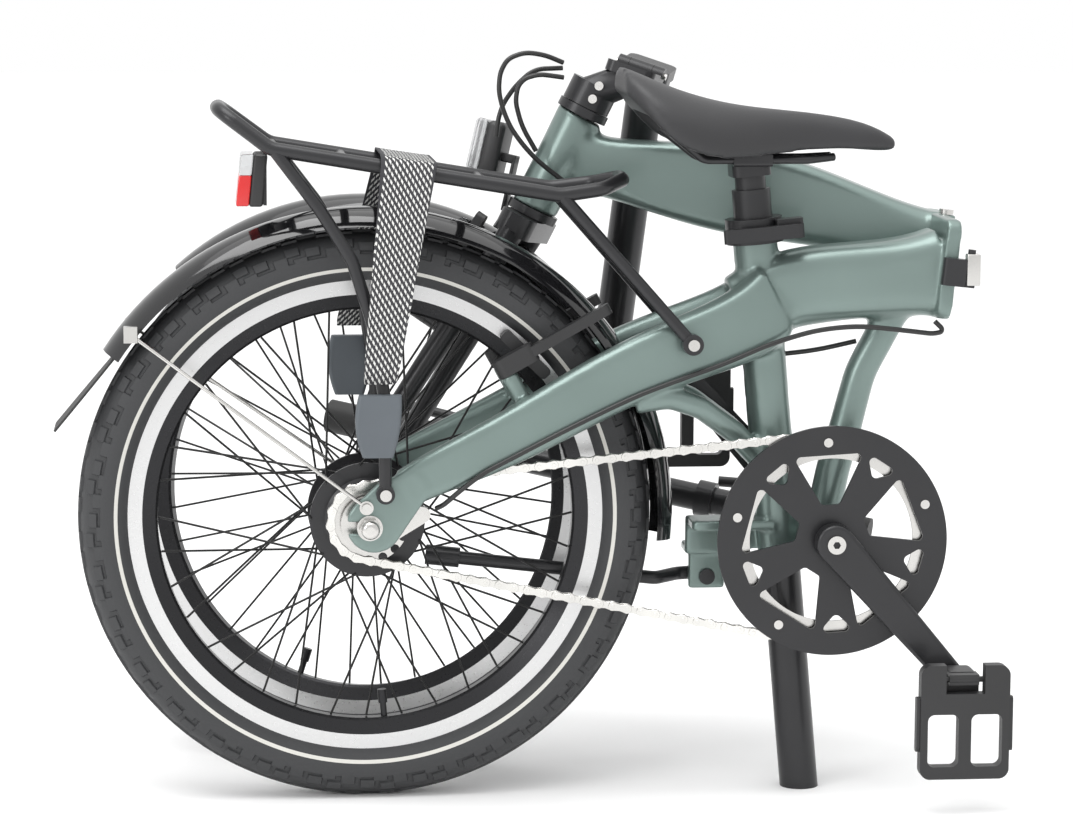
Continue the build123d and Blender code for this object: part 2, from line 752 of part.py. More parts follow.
with BuildPart() as rear_frame:
    for piece in rear_frame_parts:
        add(piece)
    with BuildSketch(Plane.XZ.offset(-SHELL_HALF)):
        with Locations((BOTTOM_BRACKET_AT[0], BOTTOM_BRACKET_AT[2])):
            Circle(SHELL_RADIUS)
    extrude(amount=2 * SHELL_HALF)
    with BuildSketch(Plane.XZ.offset(-SHELL_HALF)):
        with Locations((BOTTOM_BRACKET_AT[0], BOTTOM_BRACKET_AT[2])):
            Circle(SHELL_BORE)
    extrude(amount=2 * SHELL_HALF, mode=Mode.SUBTRACT)
    add(seat_cylinder(POST_BORE, SEAT_TUBE_FROM - 10, SEAT_TUBE_TO + 10), mode=Mode.SUBTRACT)
    with BuildSketch(Plane((KICKSTAND_PIVOT[0], 0, KICKSTAND_PIVOT[2]), z_dir=(0, 1, 0))):
        Circle(4)
    extrude(amount=60, mode=Mode.SUBTRACT)
save(rear_frame.part, "rear_frame")

with BuildPart() as hinge_pin:
    with BuildSketch(hinge_plane(-46.5, 1)):
        Circle(HINGE_PIN_RADIUS)
    extrude(amount=93)
    with BuildSketch(hinge_plane(44.3, 1)):
        Circle(6.5)
    extrude(amount=4)
save(hinge_pin.part, "frame_hinge_pin")

# ---- frame latch: a lever and its hook plate on the open edge of the rear flange
latch_plane = Plane((510, FLANGE_FROM_Y - 6.5, 464), x_dir=forward(-HINGE_LEAN),
                    z_dir=along(-HINGE_LEAN))
with BuildPart() as frame_latch:
    with BuildSketch(latch_plane.offset(-12)):
        RectangleRounded(22, 11, 4)
    extrude(amount=24)
    with BuildSketch(latch_plane.offset(-12)):
        with Locations((14, 0)):
            Rectangle(8, 9)
    extrude(amount=22)
    with BuildSketch(latch_plane.offset(10)):
        with Locations((13, 0)):
            Circle(3.4)
    extrude(amount=11)
save(frame_latch.part, "frame_latch")

# ---- shift box outside the right dropout's inner face, working the geared hub
with BuildPart() as shift_box:
    with BuildSketch(Plane((0, -50.4, WHEEL_RADIUS), x_dir=(1, 0, 0), z_dir=(0, -1, 0))):
        Circle(24)
        with Locations((46, 8)):
            Circle(7)
        make_hull()
        Circle(AXLE_RADIUS + 0.3, mode=Mode.SUBTRACT)
    extrude(amount=7)
save(shift_box.part, "shift_box")


# ======================================================================== fenders
FENDER_CROWN = 270.0
FENDER_LIP = 254.0
FENDER_HALF = 28.0
FENDER_SKIN = 1.5
REAR_FENDER_ARC = (-5.0, 147.0)
FRONT_FENDER_ARC = (36.0, 188.0)
WHEEL_TURN = Axis((0, 0, 0), (0, -1, 0))


def fender_part(first, last):
    """Curved fender about the axle, between two angles measured from +X towards +Z."""
    inner_half = FENDER_HALF - FENDER_SKIN
    inner_crown = FENDER_CROWN - FENDER_SKIN
    with BuildPart() as fender:
        with BuildSketch(Plane.XY):
            with BuildLine():
                ThreePointArc((FENDER_LIP, -FENDER_HALF), (FENDER_CROWN, 0), (FENDER_LIP, FENDER_HALF))
                Line((FENDER_LIP, FENDER_HALF), (FENDER_LIP, inner_half))
                ThreePointArc((FENDER_LIP, inner_half), (inner_crown, 0), (FENDER_LIP, -inner_half))
                Line((FENDER_LIP, -inner_half), (FENDER_LIP, -FENDER_HALF))
            make_face()
        revolve(axis=WHEEL_TURN, revolution_arc=last - first)
    return fender.part.rotate(WHEEL_TURN, first)


save(at_rear_axle(fender_part(*REAR_FENDER_ARC)), "rear_fender")
save(at_front_axle(fender_part(*FRONT_FENDER_ARC)), "front_fender")

flap_way = (Vector(-268, 0, 329) - Vector(-208, 0, 401)).normalized()
mudflap = lofted_bar([((-208, 0, 401), flap_way, 30, 2, 0.9),
                      ((-230, 0, 374.6), flap_way, 44, 2, 0.9),
                      ((-268, 0, 329), flap_way, 54, 2, 0.9)])
save(mudflap, "mudflap")

STAY_WIRE = 1.6
stays = []
for side in (-1, 1):
    stays.append(rod((-202, side * 34, 413), (-7, side * 77, 271), STAY_WIRE))
    stays.append(box_between((-208, side * 33 - 4.5, 406), (-196, side * 33 + 4.5, 420), 1))
    stays.append(round_plate(STAY_BOLT_AT, side * 73.8, side * 5, 6))
with BuildPart() as right_stay:
    for piece in stays[:3]:
        add(piece)
with BuildPart() as left_stay:
    for piece in stays[3:]:
        add(piece)
group([right_stay.part, left_stay.part], "rear_fender_stays")

# ======================================================================== rack, light and straps
RACK_RADIUS = 6.3
RACK_LOOP = [(-126.6, 0, 605), (-125, 36, 604), (-82, 46, 572), (165, 46, 532), (203, 40, 537),
             (222, 16, 543), (222.5, 0, 543.3)]
RACK_BENDS = [20, 22, 30, 20, 12]
REAR_STRUT = [(-79, 46, 571), (-41, 53, 521), (-14, 64, 478), (2, 72, 428), (12.5, 80, 362),
              (13, 80, 284)]
FRONT_STRUT = [(166, 46, 532), (279, 57.5, 404)]
FRONT_STRUT_BOLT_AT = (279.0, 404.0)
rack_parts = []
for side in (-1, 1):
    flip = [(x, side * y, z) for x, y, z in RACK_LOOP]
    rack_parts.append(bent_tube(flip, RACK_BENDS, RACK_RADIUS))
    rack_parts.append(bent_tube([(x, side * y, z) for x, y, z in REAR_STRUT], 38, 5.5))
    rack_parts.append(rod(*[(x, side * y, z) for x, y, z in FRONT_STRUT], 5.5))
    rack_parts.append(round_plate(RACK_BOLT_AT, side * 74.0, side * 11, 8))
    rack_parts.append(round_plate(FRONT_STRUT_BOLT_AT, side * 53.5, side * 9.8, 9))
for x, z in ((-80, 571.5), (-20, 562), (100, 542.5)):
    rack_parts.append(rod((x, -46, z), (x, 46, z), 4.5))
rack_parts.append(box_between((-88, -19, 522), (-85, 19, 572)))
rack_parts.append(box_between((-88, -19, 568), (-78, 19, 572)))
with BuildPart() as rear_rack:
    for piece in rack_parts:
        add(piece)
save(rear_rack.part, "rear_rack")

frame_bolts = []
for side in (-1, 1):
    frame_bolts.append(round_plate(RACK_BOLT_AT, side * 85.8, side * 4, 5))
    frame_bolts.append(round_plate(STAY_BOLT_AT, side * 79.1, side * 4, 4))
    frame_bolts.append(round_plate(FRONT_STRUT_BOLT_AT, side * 63.4, side * 4, 5))
group(frame_bolts, "frame_bolts")

with BuildPart() as rear_light:
    with BuildSketch(Plane.YZ.offset(-88.4)):
        with Locations((0, 544)):
            RectangleRounded(50, 47, 10)
    extrude(amount=-24)
    fillet(rear_light.edges().group_by(Axis.X)[0], 6)
save(rear_light.part, "rear_light")

STRAP_THICK = 3.0
STRAP_TOP_Z = 562.0
rail_way = Vector(247, 0, -40).normalized()
STRAP_FOOT = {-1: Vector(8, -92, 374), 1: Vector(-8, 90, 404)}
strap_parts = []
for side in (-1, 1):
    lay = STRAP_FOOT[side] - Vector(35, side * 58, 560)
    strap_parts.append(lofted_bar([((35, side * 57.5, 562), lay, STRAP_THICK, 48, 1),
                                   (STRAP_FOOT[side], lay, STRAP_THICK, 29, 1)]))
with BuildPart() as luggage_strap:
    for piece in strap_parts:
        add(piece)
    with BuildSketch(Plane((35, 0, STRAP_TOP_Z), x_dir=rail_way, z_dir=(-rail_way.Z, 0, rail_way.X))):
        Rectangle(48, 118)
    extrude(amount=STRAP_THICK)
save(luggage_strap.part, "luggage_strap")

buckles = []
for side in (-1, 1):
    top = STRAP_FOOT[side] + Vector(0, side, -7)
    waist = top + Vector(-2, 0, -26)
    tip = top + Vector(-2, 0, -53)
    buckles.append(lofted_bar([(top, (0, 0, -1), 12, 36, 3), (waist, (0, 0, -1), 13, 38, 3),
                               (tip, (0, 0, -1), 11, 26, 3)]))
group(buckles, "strap_buckles")

# ======================================================================== brakes
def brake_arm(side, boss_y, pad_tilt):
    """One arm of a linear-pull brake in its own place: pivot along z, arm along x, shoe inboard."""
    pad_outer = 25.5 - boss_y
    pad_inner = 14.0 - boss_y
    with BuildPart() as arm:
        with BuildSketch(Plane.XY.offset(0.3)):
            Circle(8)
            with Locations((24, side)):
                Circle(7)
            make_hull()
        extrude(amount=16)
        with BuildSketch(Plane.XY.offset(4)):
            with Locations((24, side)):
                Circle(6)
            with Locations((BRAKE_DROP, side)):
                Circle(5)
            make_hull()
        extrude(amount=9)
        with BuildSketch(Plane.XY.offset(-1)):
            Circle(BRAKE_BOSS_RADIUS + RUNNING_GAP)
        extrude(amount=16, mode=Mode.SUBTRACT)
        with BuildSketch(Plane.XZ.offset(-side * (pad_outer - 1))):
            with Locations((PAD_REACH, 7)):
                Circle(3.5)
        extrude(amount=-side * (3 - pad_outer))
        with BuildSketch(Plane.XZ.offset(-side * pad_inner)):
            with Locations(Location((PAD_REACH, 6), pad_tilt)):
                RectangleRounded(11, 54, 4)
        extrude(amount=-side * (pad_outer - pad_inner))
    return arm.part


def placed_brake(arm, pivot, y, reach, boss):
    """Moves an arm from its own place to its stud; reach and boss are its x and z directions."""
    return arm.moved(Location(Plane((pivot[0], y, pivot[1]), x_dir=reach, z_dir=boss)))


for side, name in ((-1, "right"), (1, "left")):
    rear_arm = brake_arm(side, REAR_BRAKE_Y, REAR_PAD_TILT)
    front_arm = brake_arm(-side, FRONT_BRAKE_Y, FRONT_PAD_TILT)
    rear_arm = placed_brake(rear_arm, REAR_BRAKE_PIVOT, side * REAR_BRAKE_Y,
                            REAR_BRAKE_REACH, REAR_BRAKE_BOSS)
    front_arm = placed_brake(front_arm, FRONT_BRAKE_PIVOT, side * FRONT_BRAKE_Y,
                             FRONT_BRAKE_REACH, FRONT_BRAKE_BOSS)
    save(rear_arm, f"rear_brake_{name}")
    save(steered(front_arm), f"front_brake_{name}")

# ======================================================================== kickstand
KICKSTAND_FOOT = (56.0, 54.0, 204.0)
KICKSTAND_LINE = [(302, 49, 186), (281, 47.6, 185), (260, 31.5, 184), KICKSTAND_FOOT]
with BuildPart() as kickstand:
    with BuildSketch(Plane((KICKSTAND_PIVOT[0], 41.3, KICKSTAND_PIVOT[2]), z_dir=(0, 1, 0))):
        Circle(12)
    extrude(amount=14)
    with BuildSketch(Plane((KICKSTAND_PIVOT[0], 28, KICKSTAND_PIVOT[2]), z_dir=(0, 1, 0))):
        Circle(3.95)
    extrude(amount=18)
    with BuildSketch(Plane((KICKSTAND_PIVOT[0], 26.5, KICKSTAND_PIVOT[2]), z_dir=(0, 1, 0))):
        Circle(7)
    extrude(amount=3)
    add(bent_tube(KICKSTAND_LINE, 12, 6))
    add(rod((86, 50.7, 201.1), KICKSTAND_FOOT, 9))
save(kickstand.part, "kickstand")

# ======================================================================== seat post and saddle
with BuildPart() as seat_post:
    add(seat_cylinder(SEAT_POST_RADIUS, -3, SEAT_POST_LENGTH - 12))
    add(seat_cylinder(13.5, SEAT_POST_LENGTH - 12, SEAT_POST_LENGTH))
    split(bisect_by=Plane.XY, keep=Keep.TOP)
save(seat_post.part, "seat_post")

with BuildPart() as seat_clamp:
    add(seat_cylinder(25, 489, 511))
    with BuildSketch(Plane((350, -19, 500), x_dir=(1, 0, 0), z_dir=(-sin(radians(SEAT_LEAN)), 0, 1))):
        with Locations((18, 0)):
            RectangleRounded(24, 16, 3)
    extrude(amount=8, both=True)
    add(seat_cylinder(SEAT_TUBE_RADIUS + 0.1, 480, 509), mode=Mode.SUBTRACT)
    add(seat_cylinder(SEAT_POST_RADIUS + 0.4, 480, 520), mode=Mode.SUBTRACT)
save(seat_clamp.part, "seat_clamp")

lever_way = SEAT_AXIS.direction
LEVER_PIVOT = (374.0, -31.0, 500.0)
with BuildPart() as seat_lever:
    with BuildSketch(Plane(LEVER_PIVOT, x_dir=(1, 0, 0), z_dir=lever_way).offset(-6)):
        with Locations((-1, -2)):
            Circle(6)
        with Locations((-62, -2)):
            Circle(3.5)
        make_hull()
    extrude(amount=12)
save(seat_lever.part, "seat_clamp_lever")

# (x, top, bottom, half width) along the saddle, tail first
SADDLE_STATIONS = [(221, 640, 618, 44), (240, 633, 598, 68), (262, 624, 578, 76), (300, 612, 564, 66),
                   (340, 605, 564, 42), (380, 601, 568, 25), (425, 594, 569, 19), (464, 577, 568, 8)]
SADDLE_WALL = 9.0


def saddle_body(stations, inset, drop):
    """Arched body through the stations; an inset shrinks it all round and a drop opens its foot."""
    with BuildPart() as body:
        for x, top, bottom, half in stations:
            reach = half - inset
            low = bottom - drop
            rise = top - inset - low
            with BuildSketch(Plane((x, 0, low), x_dir=(0, 1, 0), z_dir=(1, 0, 0))):
                with BuildLine():
                    Spline((-reach, 0), (-reach * 0.96, rise * 0.5), (-reach * 0.62, rise * 0.9),
                           (0, rise), (reach * 0.62, rise * 0.9), (reach * 0.96, rise * 0.5),
                           (reach, 0))
                    Line((reach, 0), (-reach, 0))
                make_face()
        loft()
    return body.part


hollow = [(x, top, bottom, half) for x, top, bottom, half in SADDLE_STATIONS[1:-1]]
with BuildPart() as saddle_cover:
    add(saddle_body(SADDLE_STATIONS, 0, 0))
    add(saddle_body(hollow, SADDLE_WALL, 12), mode=Mode.SUBTRACT)
save(saddle_cover.part, "saddle_cover")

RAIL_RADIUS = 3.5
rails = []
for side in (-1, 1):
    rails.append(bent_tube([(262, side * 36, 584), (292, side * 21, 560), (384, side * 19, 560),
                            (408, side * 8, 562)], 14, RAIL_RADIUS))
head_at = SEAT_AXIS.position + SEAT_AXIS.direction * (SEAT_POST_LENGTH + 0.2)
with BuildPart() as saddle_clamp:
    with BuildSketch(Plane(head_at, x_dir=(1, 0, 0), z_dir=SEAT_AXIS.direction)):
        RectangleRounded(34, 40, 8)
    extrude(amount=13)
    with BuildSketch(Plane((318, 0, 561), x_dir=(0, 1, 0), z_dir=(1, 0, 0))):
        RectangleRounded(50, 13, 3)
    extrude(amount=34)
    with BuildSketch(Plane((310, 0, 561), x_dir=(0, 1, 0), z_dir=(1, 0, 0))):
        with Locations((-20.4, -1), (20.4, -1)):
            Circle(RAIL_RADIUS + 0.9)
    extrude(amount=60, mode=Mode.SUBTRACT)
group(rails + [saddle_clamp.part], "saddle_rails")

# ======================================================================== front frame
FRONT_BEAM_LINE = [(527, 0, 466), (610, 0, 484), (690, 0, 485), (770, 0, 481), (850, 0, 478)]
FRONT_BEAM_SIZES = [(62, 84, 20), (56, 64, 12), (52, 77, 10), (46, 66, 10), (38, 56, 10)]
HEAD_TUBE_FROM = 28.0
HEAD_TUBE_TO = 122.0
HEAD_TUBE_RADIUS = 21.5


def steer_plane(up):
    """Plane square to the steering axis, a distance above the fork crown; local x points ahead."""
    return Plane(Vector(*CROWN_AT) + along(STEER_LEAN) * up, x_dir=forward(STEER_LEAN),
                 z_dir=along(STEER_LEAN))


def steer_cylinder(radius, start, end):
    """Round piece about the steering axis between two distances above the crown."""
    with BuildPart() as piece:
        with BuildSketch(steer_plane(start)):
            Circle(radius)
        extrude(amount=end - start)
    return piece.part


with BuildPart() as front_frame:
    add(tapering(FRONT_BEAM_LINE, FRONT_BEAM_SIZES))
    add(hinge_flange(1))
    add(knuckle(1, -KNUCKLE_SPLIT, KNUCKLE_SPLIT))
    add(steer_cylinder(HEAD_TUBE_RADIUS, HEAD_TUBE_FROM, HEAD_TUBE_TO))
    add(steer_cylinder(STEERER_RADIUS + 0.5, HEAD_TUBE_FROM - 5, HEAD_TUBE_TO + 5), mode=Mode.SUBTRACT)
save(folded(front_frame.part), "front_frame")

cups = []
for start, end in ((HEAD_TUBE_FROM - 7.8, HEAD_TUBE_FROM - 0.1), (HEAD_TUBE_TO + 0.1, HEAD_TUBE_TO + 7.8)):
    with BuildPart() as cup:
        with BuildSketch(steer_plane(start)):
            Circle(23.5)
            Circle(STEERER_RADIUS + RUNNING_GAP, mode=Mode.SUBTRACT)
        extrude(amount=end - start)
    cups.append(cup.part)
group([folded(cup) for cup in cups], "headset_cups")

# ======================================================================== fork and headlight
with BuildPart() as fork:
    add(steer_cylinder(STEERER_RADIUS, 10, 150))
    with BuildSketch(steer_plane(0.5)):
        RectangleRounded(34, 100, 12)
    extrude(amount=19)
    for side in (-1, 1):
        top = Vector(884, side * 40.5, 405)
        low = Vector(969, side * 52.7, 167)
        with BuildSketch(Plane(top, z_dir=(low - top).normalized())):
            Circle(11.5)
        with BuildSketch(Plane(low, z_dir=(low - top).normalized())):
            Circle(9)
        loft()
        with BuildSketch(Plane((FRONT_AXLE_AT[0], side * FRONT_DROPOUT_INNER, FRONT_AXLE_AT[2]),
                               x_dir=(1, 0, 0), z_dir=(0, -1, 0))):
            Circle(13)
            with Locations((-9, 27)):
                Circle(9)
            make_hull()
            Circle(AXLE_RADIUS + 0.1, mode=Mode.SUBTRACT)
        extrude(amount=-side * FORK_END_THICK)
        add(brake_stud(FRONT_BRAKE_BASE, FRONT_BRAKE_PIVOT, FRONT_BRAKE_BOSS, side * FRONT_BRAKE_Y))
save(steered(fork.part), "fork")

with BuildPart() as headlight:
    with BuildSketch(Plane((917, 0, 468), x_dir=(0, 1, 0), z_dir=(1, 0, 0))):
        RectangleRounded(44, 58, 12)
    extrude(amount=29)
    fillet(headlight.edges().group_by(Axis.X)[-1], 6)
    add(box_between((904, -8, 419), (907, 8, 470)))
    add(box_between((904, -8, 462), (920, 8, 470)))
save(steered(headlight.part), "headlight")

# ======================================================================== handlepost
BASE_FROM = 130.5
POST_KNUCKLE_RADIUS = 7.5
POST_KNUCKLE_SPLIT = 11.0


def post_plane(up):
    """Plane of the handlepost's hinge face, or one square to it a distance up; x points ahead."""
    return Plane(POST_BASE + POST_UP * up, x_dir=forward(POST_SKEW), z_dir=POST_UP)


def pin_plane(start):
    """Plane square to the handlepost's hinge pin; local x points to the left, y up."""
    return Plane(POST_PIN_AT + forward(POST_SKEW) * start, x_dir=(0, 1, 0), z_dir=forward(POST_SKEW))


def post_knuckle(way, start, end):
    """Eye round the handlepost's pin with its web; way is -1 below the hinge face and 1 above."""
    with BuildPart() as eye:
        with BuildSketch(pin_plane(start)):
            Circle(POST_KNUCKLE_RADIUS)
            with Locations((6, way * 5.4)):
                Rectangle(12, 8)
            Circle(3.05, mode=Mode.SUBTRACT)
        extrude(amount=end - start)
    return eye.part


with BuildPart() as handlepost_base:
    with BuildSketch(steer_plane(BASE_FROM)):
        Circle(22)
    extrude(amount=22)
    with BuildSketch(steer_plane(BASE_FROM + 14)):
        Circle(22)
    with BuildSketch(post_plane(-10)):
        RectangleRounded(44, 34, 8)
    loft()
    with BuildSketch(post_plane(-10.15)):
        with Locations((0, 2)):
            RectangleRounded(46, 38, 8)
    extrude(amount=10)
    for start, end in ((-22, -POST_KNUCKLE_SPLIT - 0.3), (POST_KNUCKLE_SPLIT + 0.3, 22)):
        add(post_knuckle(-1, start, end))
    with BuildSketch(steer_plane(BASE_FROM - 2)):
        Circle(STEERER_RADIUS + 0.05)
    extrude(amount=24, mode=Mode.SUBTRACT)
base_bolts = []
for up in (138, 151):
    spot = Vector(*CROWN_AT) + along(STEER_LEAN) * up
    base_bolts.append(round_plate((spot.X - 9, spot.Z), 22.2, 3, 4))
save(steered(handlepost_base.part), "handlepost_base")

with BuildPart() as handlepost_pin:
    with BuildSketch(pin_plane(-24.5)):
        Circle(3)
    extrude(amount=49)
group([steered(piece) for piece in [handlepost_pin.part] + base_bolts], "handlepost_pin")

with BuildPart() as handlepost:
    with BuildSketch(post_plane(0.15)):
        with Locations((0, 2)):
            RectangleRounded(46, 38, 8)
    extrude(amount=11)
    add(post_knuckle(1, -POST_KNUCKLE_SPLIT, POST_KNUCKLE_SPLIT))
    tube_end = BAR_AT - along(STEER_LEAN) * 34
    with BuildSketch(Plane(tube_end, z_dir=-along(STEER_LEAN))):
        Circle(POST_RADIUS)
    extrude(amount=POST_LENGTH - 34 - 28)
    with BuildSketch(post_plane(5)):
        with Locations((0, 2)):
            RectangleRounded(42, 36, 8)
    with BuildSketch(post_plane(38)):
        with Locations((-5.4, 0)):
            Circle(18.6)
    loft()
    with BuildSketch(Plane(tube_end, z_dir=along(STEER_LEAN))):
        Circle(10)
    extrude(amount=12)
save(post_folded(handlepost.part), "handlepost")

# ---- latch lever on the side away from the pin
LATCH_PIVOT = POST_BASE + Vector(0, 26.5, 0) + POST_UP * 4
with BuildPart() as handlepost_latch:
    with BuildSketch(Plane(LATCH_PIVOT, x_dir=forward(POST_SKEW), z_dir=POST_UP)):
        RectangleRounded(24, 8, 3)
    extrude(amount=60)
save(post_folded(handlepost_latch.part), "handlepost_latch")

# ======================================================================== handlebar
BAR_RADIUS = 12.7
GRIP_RADIUS = 16.0
GRIP_LENGTH = 102.0
bar_up = along(STEER_LEAN)
bar_ahead = forward(STEER_LEAN)


def bar_plane(y, facing=1):
    """Plane square to the handlebar at a distance along it."""
    return Plane(BAR_AT + Vector(0, y, 0), x_dir=bar_ahead, z_dir=(0, facing, 0))


with BuildPart() as handlebar:
    with BuildSketch(bar_plane(-BAR_WIDTH / 2)):
        Circle(BAR_RADIUS)
        Circle(BAR_RADIUS - 2, mode=Mode.SUBTRACT)
    extrude(amount=BAR_WIDTH)
    with BuildSketch(bar_plane(-24)):
        Circle(18)
    extrude(amount=48)
    with BuildSketch(Plane(BAR_AT - bar_up * 33.8, x_dir=bar_ahead, z_dir=bar_up)):
        Circle(17.5)
    extrude(amount=20)
    with BuildSketch(Plane(BAR_AT - bar_up * 34, x_dir=bar_ahead, z_dir=bar_up)):
        Circle(10 + RUNNING_GAP)
    extrude(amount=12.4, mode=Mode.SUBTRACT)

grips = []
for side in (-1, 1):
    with BuildPart() as grip:
        with BuildSketch(bar_plane(side * (BAR_WIDTH / 2 - GRIP_LENGTH), side)):
            Circle(GRIP_RADIUS)
        extrude(amount=GRIP_LENGTH + 2)
        with BuildSketch(bar_plane(side * (BAR_WIDTH / 2 - GRIP_LENGTH - 1), side)):
            Circle(BAR_RADIUS + 0.05)
        extrude(amount=GRIP_LENGTH + 1.1, mode=Mode.SUBTRACT)
    grips.append(grip.part)
SHIFTER_LENGTH = 34.0
with BuildPart() as shifter:
    with BuildSketch(bar_plane(-(BAR_WIDTH / 2 - GRIP_LENGTH) + 1)):
        Circle(20)
        Circle(BAR_RADIUS + 0.05, mode=Mode.SUBTRACT)
    extrude(amount=SHIFTER_LENGTH)
group([bar_turned(piece) for piece in grips + [shifter.part]], "grips")


def brake_lever(side):
    """Clamp on the bar and a two-finger lever that runs outward ahead of the grip."""
    start = BAR_WIDTH / 2 - GRIP_LENGTH - 60
    pivot = BAR_AT + Vector(0, side * (start + 8), 0) + bar_ahead * 34 - bar_up * 8
    tip = BAR_AT + Vector(0, side * (start + 120), 0) + bar_ahead * 46 - bar_up * 12
    elbow = BAR_AT + Vector(0, side * (start + 46), 0) + bar_ahead * 44 - bar_up * 10
    return bent_tube([pivot, elbow, tip], 40, 5)


def lever_mount(side):
    """Ring round the bar with the block that holds the lever's pivot."""
    start = BAR_WIDTH / 2 - GRIP_LENGTH - 60
    with BuildPart() as mount:
        with BuildSketch(bar_plane(side * (start - 2), side)):
            Circle(17)
            with Locations((18, -6)):
                RectangleRounded(18, 14, 4)
            Circle(BAR_RADIUS + 0.05, mode=Mode.SUBTRACT)
        extrude(amount=16)
    return mount.part


save(bar_turned(brake_lever(-1)), "right_brake_lever")
save(bar_turned(brake_lever(1)), "left_brake_lever")
bar_pieces = [handlebar.part, lever_mount(-1), lever_mount(1)]
group([bar_turned(piece) for piece in bar_pieces], "handlebar")

# ======================================================================== cables
CABLE_RADIUS = 2.2
# from the main hinge along the foot of the right arm to the geared hub
GEAR_CABLE = [(498, -20, 418.6), (507, -21, 410), (496, -24, 408), (470, -27, 411.5),
              (430, -27.5, 416), (392, -31, 413), (350, -43.5, 403), (306, -53, 386),
              (270, -56, 374), (232, -60.5, 361), (196, -64.8, 345), (160, -68.5, 328),
              (126, -72, 311), (96, -74, 296), (76, -72, 280), (64, -65, 268), (58, -58.5, 264)]
# from the main hinge behind the seat tube to the rear brake
BRAKE_CABLE = [(436, 20, 397), (400, 23.5, 388.5), (356, 24.5, 384), (318, 25, 374)]
# three loops from the handlepost to the front frame and the front brake
LONG_LOOP = [(183, 112, 639), (166, 106, 646), (148, 103, 648.5), (132.5, 101, 643),
             (125.5, 100, 631), (124, 99, 614.5), (127.5, 98, 599), (134, 97, 583),
             (144, 96, 568.5), (157, 95.5, 554), (171, 96, 542.5), (185, 97, 532)]
LOW_LOOP = [(183, 116, 634), (157, 113, 633), (140.5, 112, 618.5), (129, 111, 602),
            (124.5, 110, 588), (123, 110, 573)]
SHORT_LOOP = [(183, 106, 626), (161, 102, 629), (148, 101, 625.5), (141.5, 101, 618.5),
              (139.3, 101, 604.5), (145, 101, 583), (158, 101, 560.5)]
gear_cable = cable(GEAR_CABLE, CABLE_RADIUS)
brake_cable = cable(BRAKE_CABLE, CABLE_RADIUS)
group([gear_cable, brake_cable], "rear_cables")
loops = [cable(points, CABLE_RADIUS) for points in (LONG_LOOP, LOW_LOOP, SHORT_LOOP)]
group(loops, "front_cables")
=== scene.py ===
import math

import bpy
from mathutils import Matrix, Vector


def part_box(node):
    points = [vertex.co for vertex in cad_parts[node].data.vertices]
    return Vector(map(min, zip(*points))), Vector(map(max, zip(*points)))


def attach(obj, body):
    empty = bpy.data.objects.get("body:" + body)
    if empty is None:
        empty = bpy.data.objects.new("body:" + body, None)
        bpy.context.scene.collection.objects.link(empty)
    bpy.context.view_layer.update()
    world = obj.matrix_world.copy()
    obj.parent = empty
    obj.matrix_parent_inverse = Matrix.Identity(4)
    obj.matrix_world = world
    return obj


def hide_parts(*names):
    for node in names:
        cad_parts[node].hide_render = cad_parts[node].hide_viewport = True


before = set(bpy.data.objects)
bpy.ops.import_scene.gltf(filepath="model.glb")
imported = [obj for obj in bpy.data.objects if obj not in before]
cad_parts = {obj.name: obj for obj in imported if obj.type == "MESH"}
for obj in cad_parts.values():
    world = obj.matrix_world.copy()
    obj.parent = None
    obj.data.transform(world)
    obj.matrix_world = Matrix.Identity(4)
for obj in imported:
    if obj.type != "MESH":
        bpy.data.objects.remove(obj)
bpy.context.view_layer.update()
bpy.ops.object.select_all(action="DESELECT")

# ---- Frame tubes
# Two hydroformed aluminium beams with welded lugs, sprayed a grey sage with fine metal flake.
# The welds are ground soft, so each half of the frame is closed over as one skin, and the skin
# flows together where a beam meets the seat tube or the head tube.


def finish_of(name, colour, rough, metallic=0.0, shade=0.85, grain=260.0, bump=0.05, coat=0.0):
    """Sprayed, moulded or plated finish: the colour mottles, and gloss and surface vary with a grain."""
    finish = bpy.data.materials.new(name)
    finish.use_nodes = True
    nodes, links = finish.node_tree.nodes, finish.node_tree.links
    shader = nodes["Principled BSDF"]
    shader.inputs["Metallic"].default_value = metallic
    shader.inputs["Coat Weight"].default_value = coat
    place = nodes.new("ShaderNodeTexCoord")
    cloud = nodes.new("ShaderNodeTexNoise")
    cloud.inputs["Scale"].default_value = 14.0
    cloud.inputs["Detail"].default_value = 4.0
    ramp = nodes.new("ShaderNodeValToRGB")
    ramp.color_ramp.elements[0].position = 0.3
    ramp.color_ramp.elements[0].color = (colour[0] * shade, colour[1] * shade, colour[2] * shade, 1)
    ramp.color_ramp.elements[1].position = 0.7
    ramp.color_ramp.elements[1].color = (*colour, 1)
    speck = nodes.new("ShaderNodeTexNoise")
    speck.inputs["Scale"].default_value = grain
    speck.inputs["Detail"].default_value = 3.0
    spread = nodes.new("ShaderNodeMapRange")
    spread.inputs["To Min"].default_value = max(rough - 0.07, 0.02)
    spread.inputs["To Max"].default_value = rough + 0.07
    relief = nodes.new("ShaderNodeBump")
    relief.inputs["Strength"].default_value = bump
    relief.inputs["Distance"].default_value = 0.0005
    links.new(place.outputs["Object"], cloud.inputs["Vector"])
    links.new(place.outputs["Object"], speck.inputs["Vector"])
    links.new(cloud.outputs["Fac"], ramp.inputs["Fac"])
    links.new(ramp.outputs["Color"], shader.inputs["Base Color"])
    links.new(speck.outputs["Fac"], spread.inputs["Value"])
    links.new(spread.outputs["Result"], shader.inputs["Roughness"])
    links.new(speck.outputs["Fac"], relief.inputs["Height"])
    links.new(relief.outputs["Normal"], shader.inputs["Normal"])
    return finish


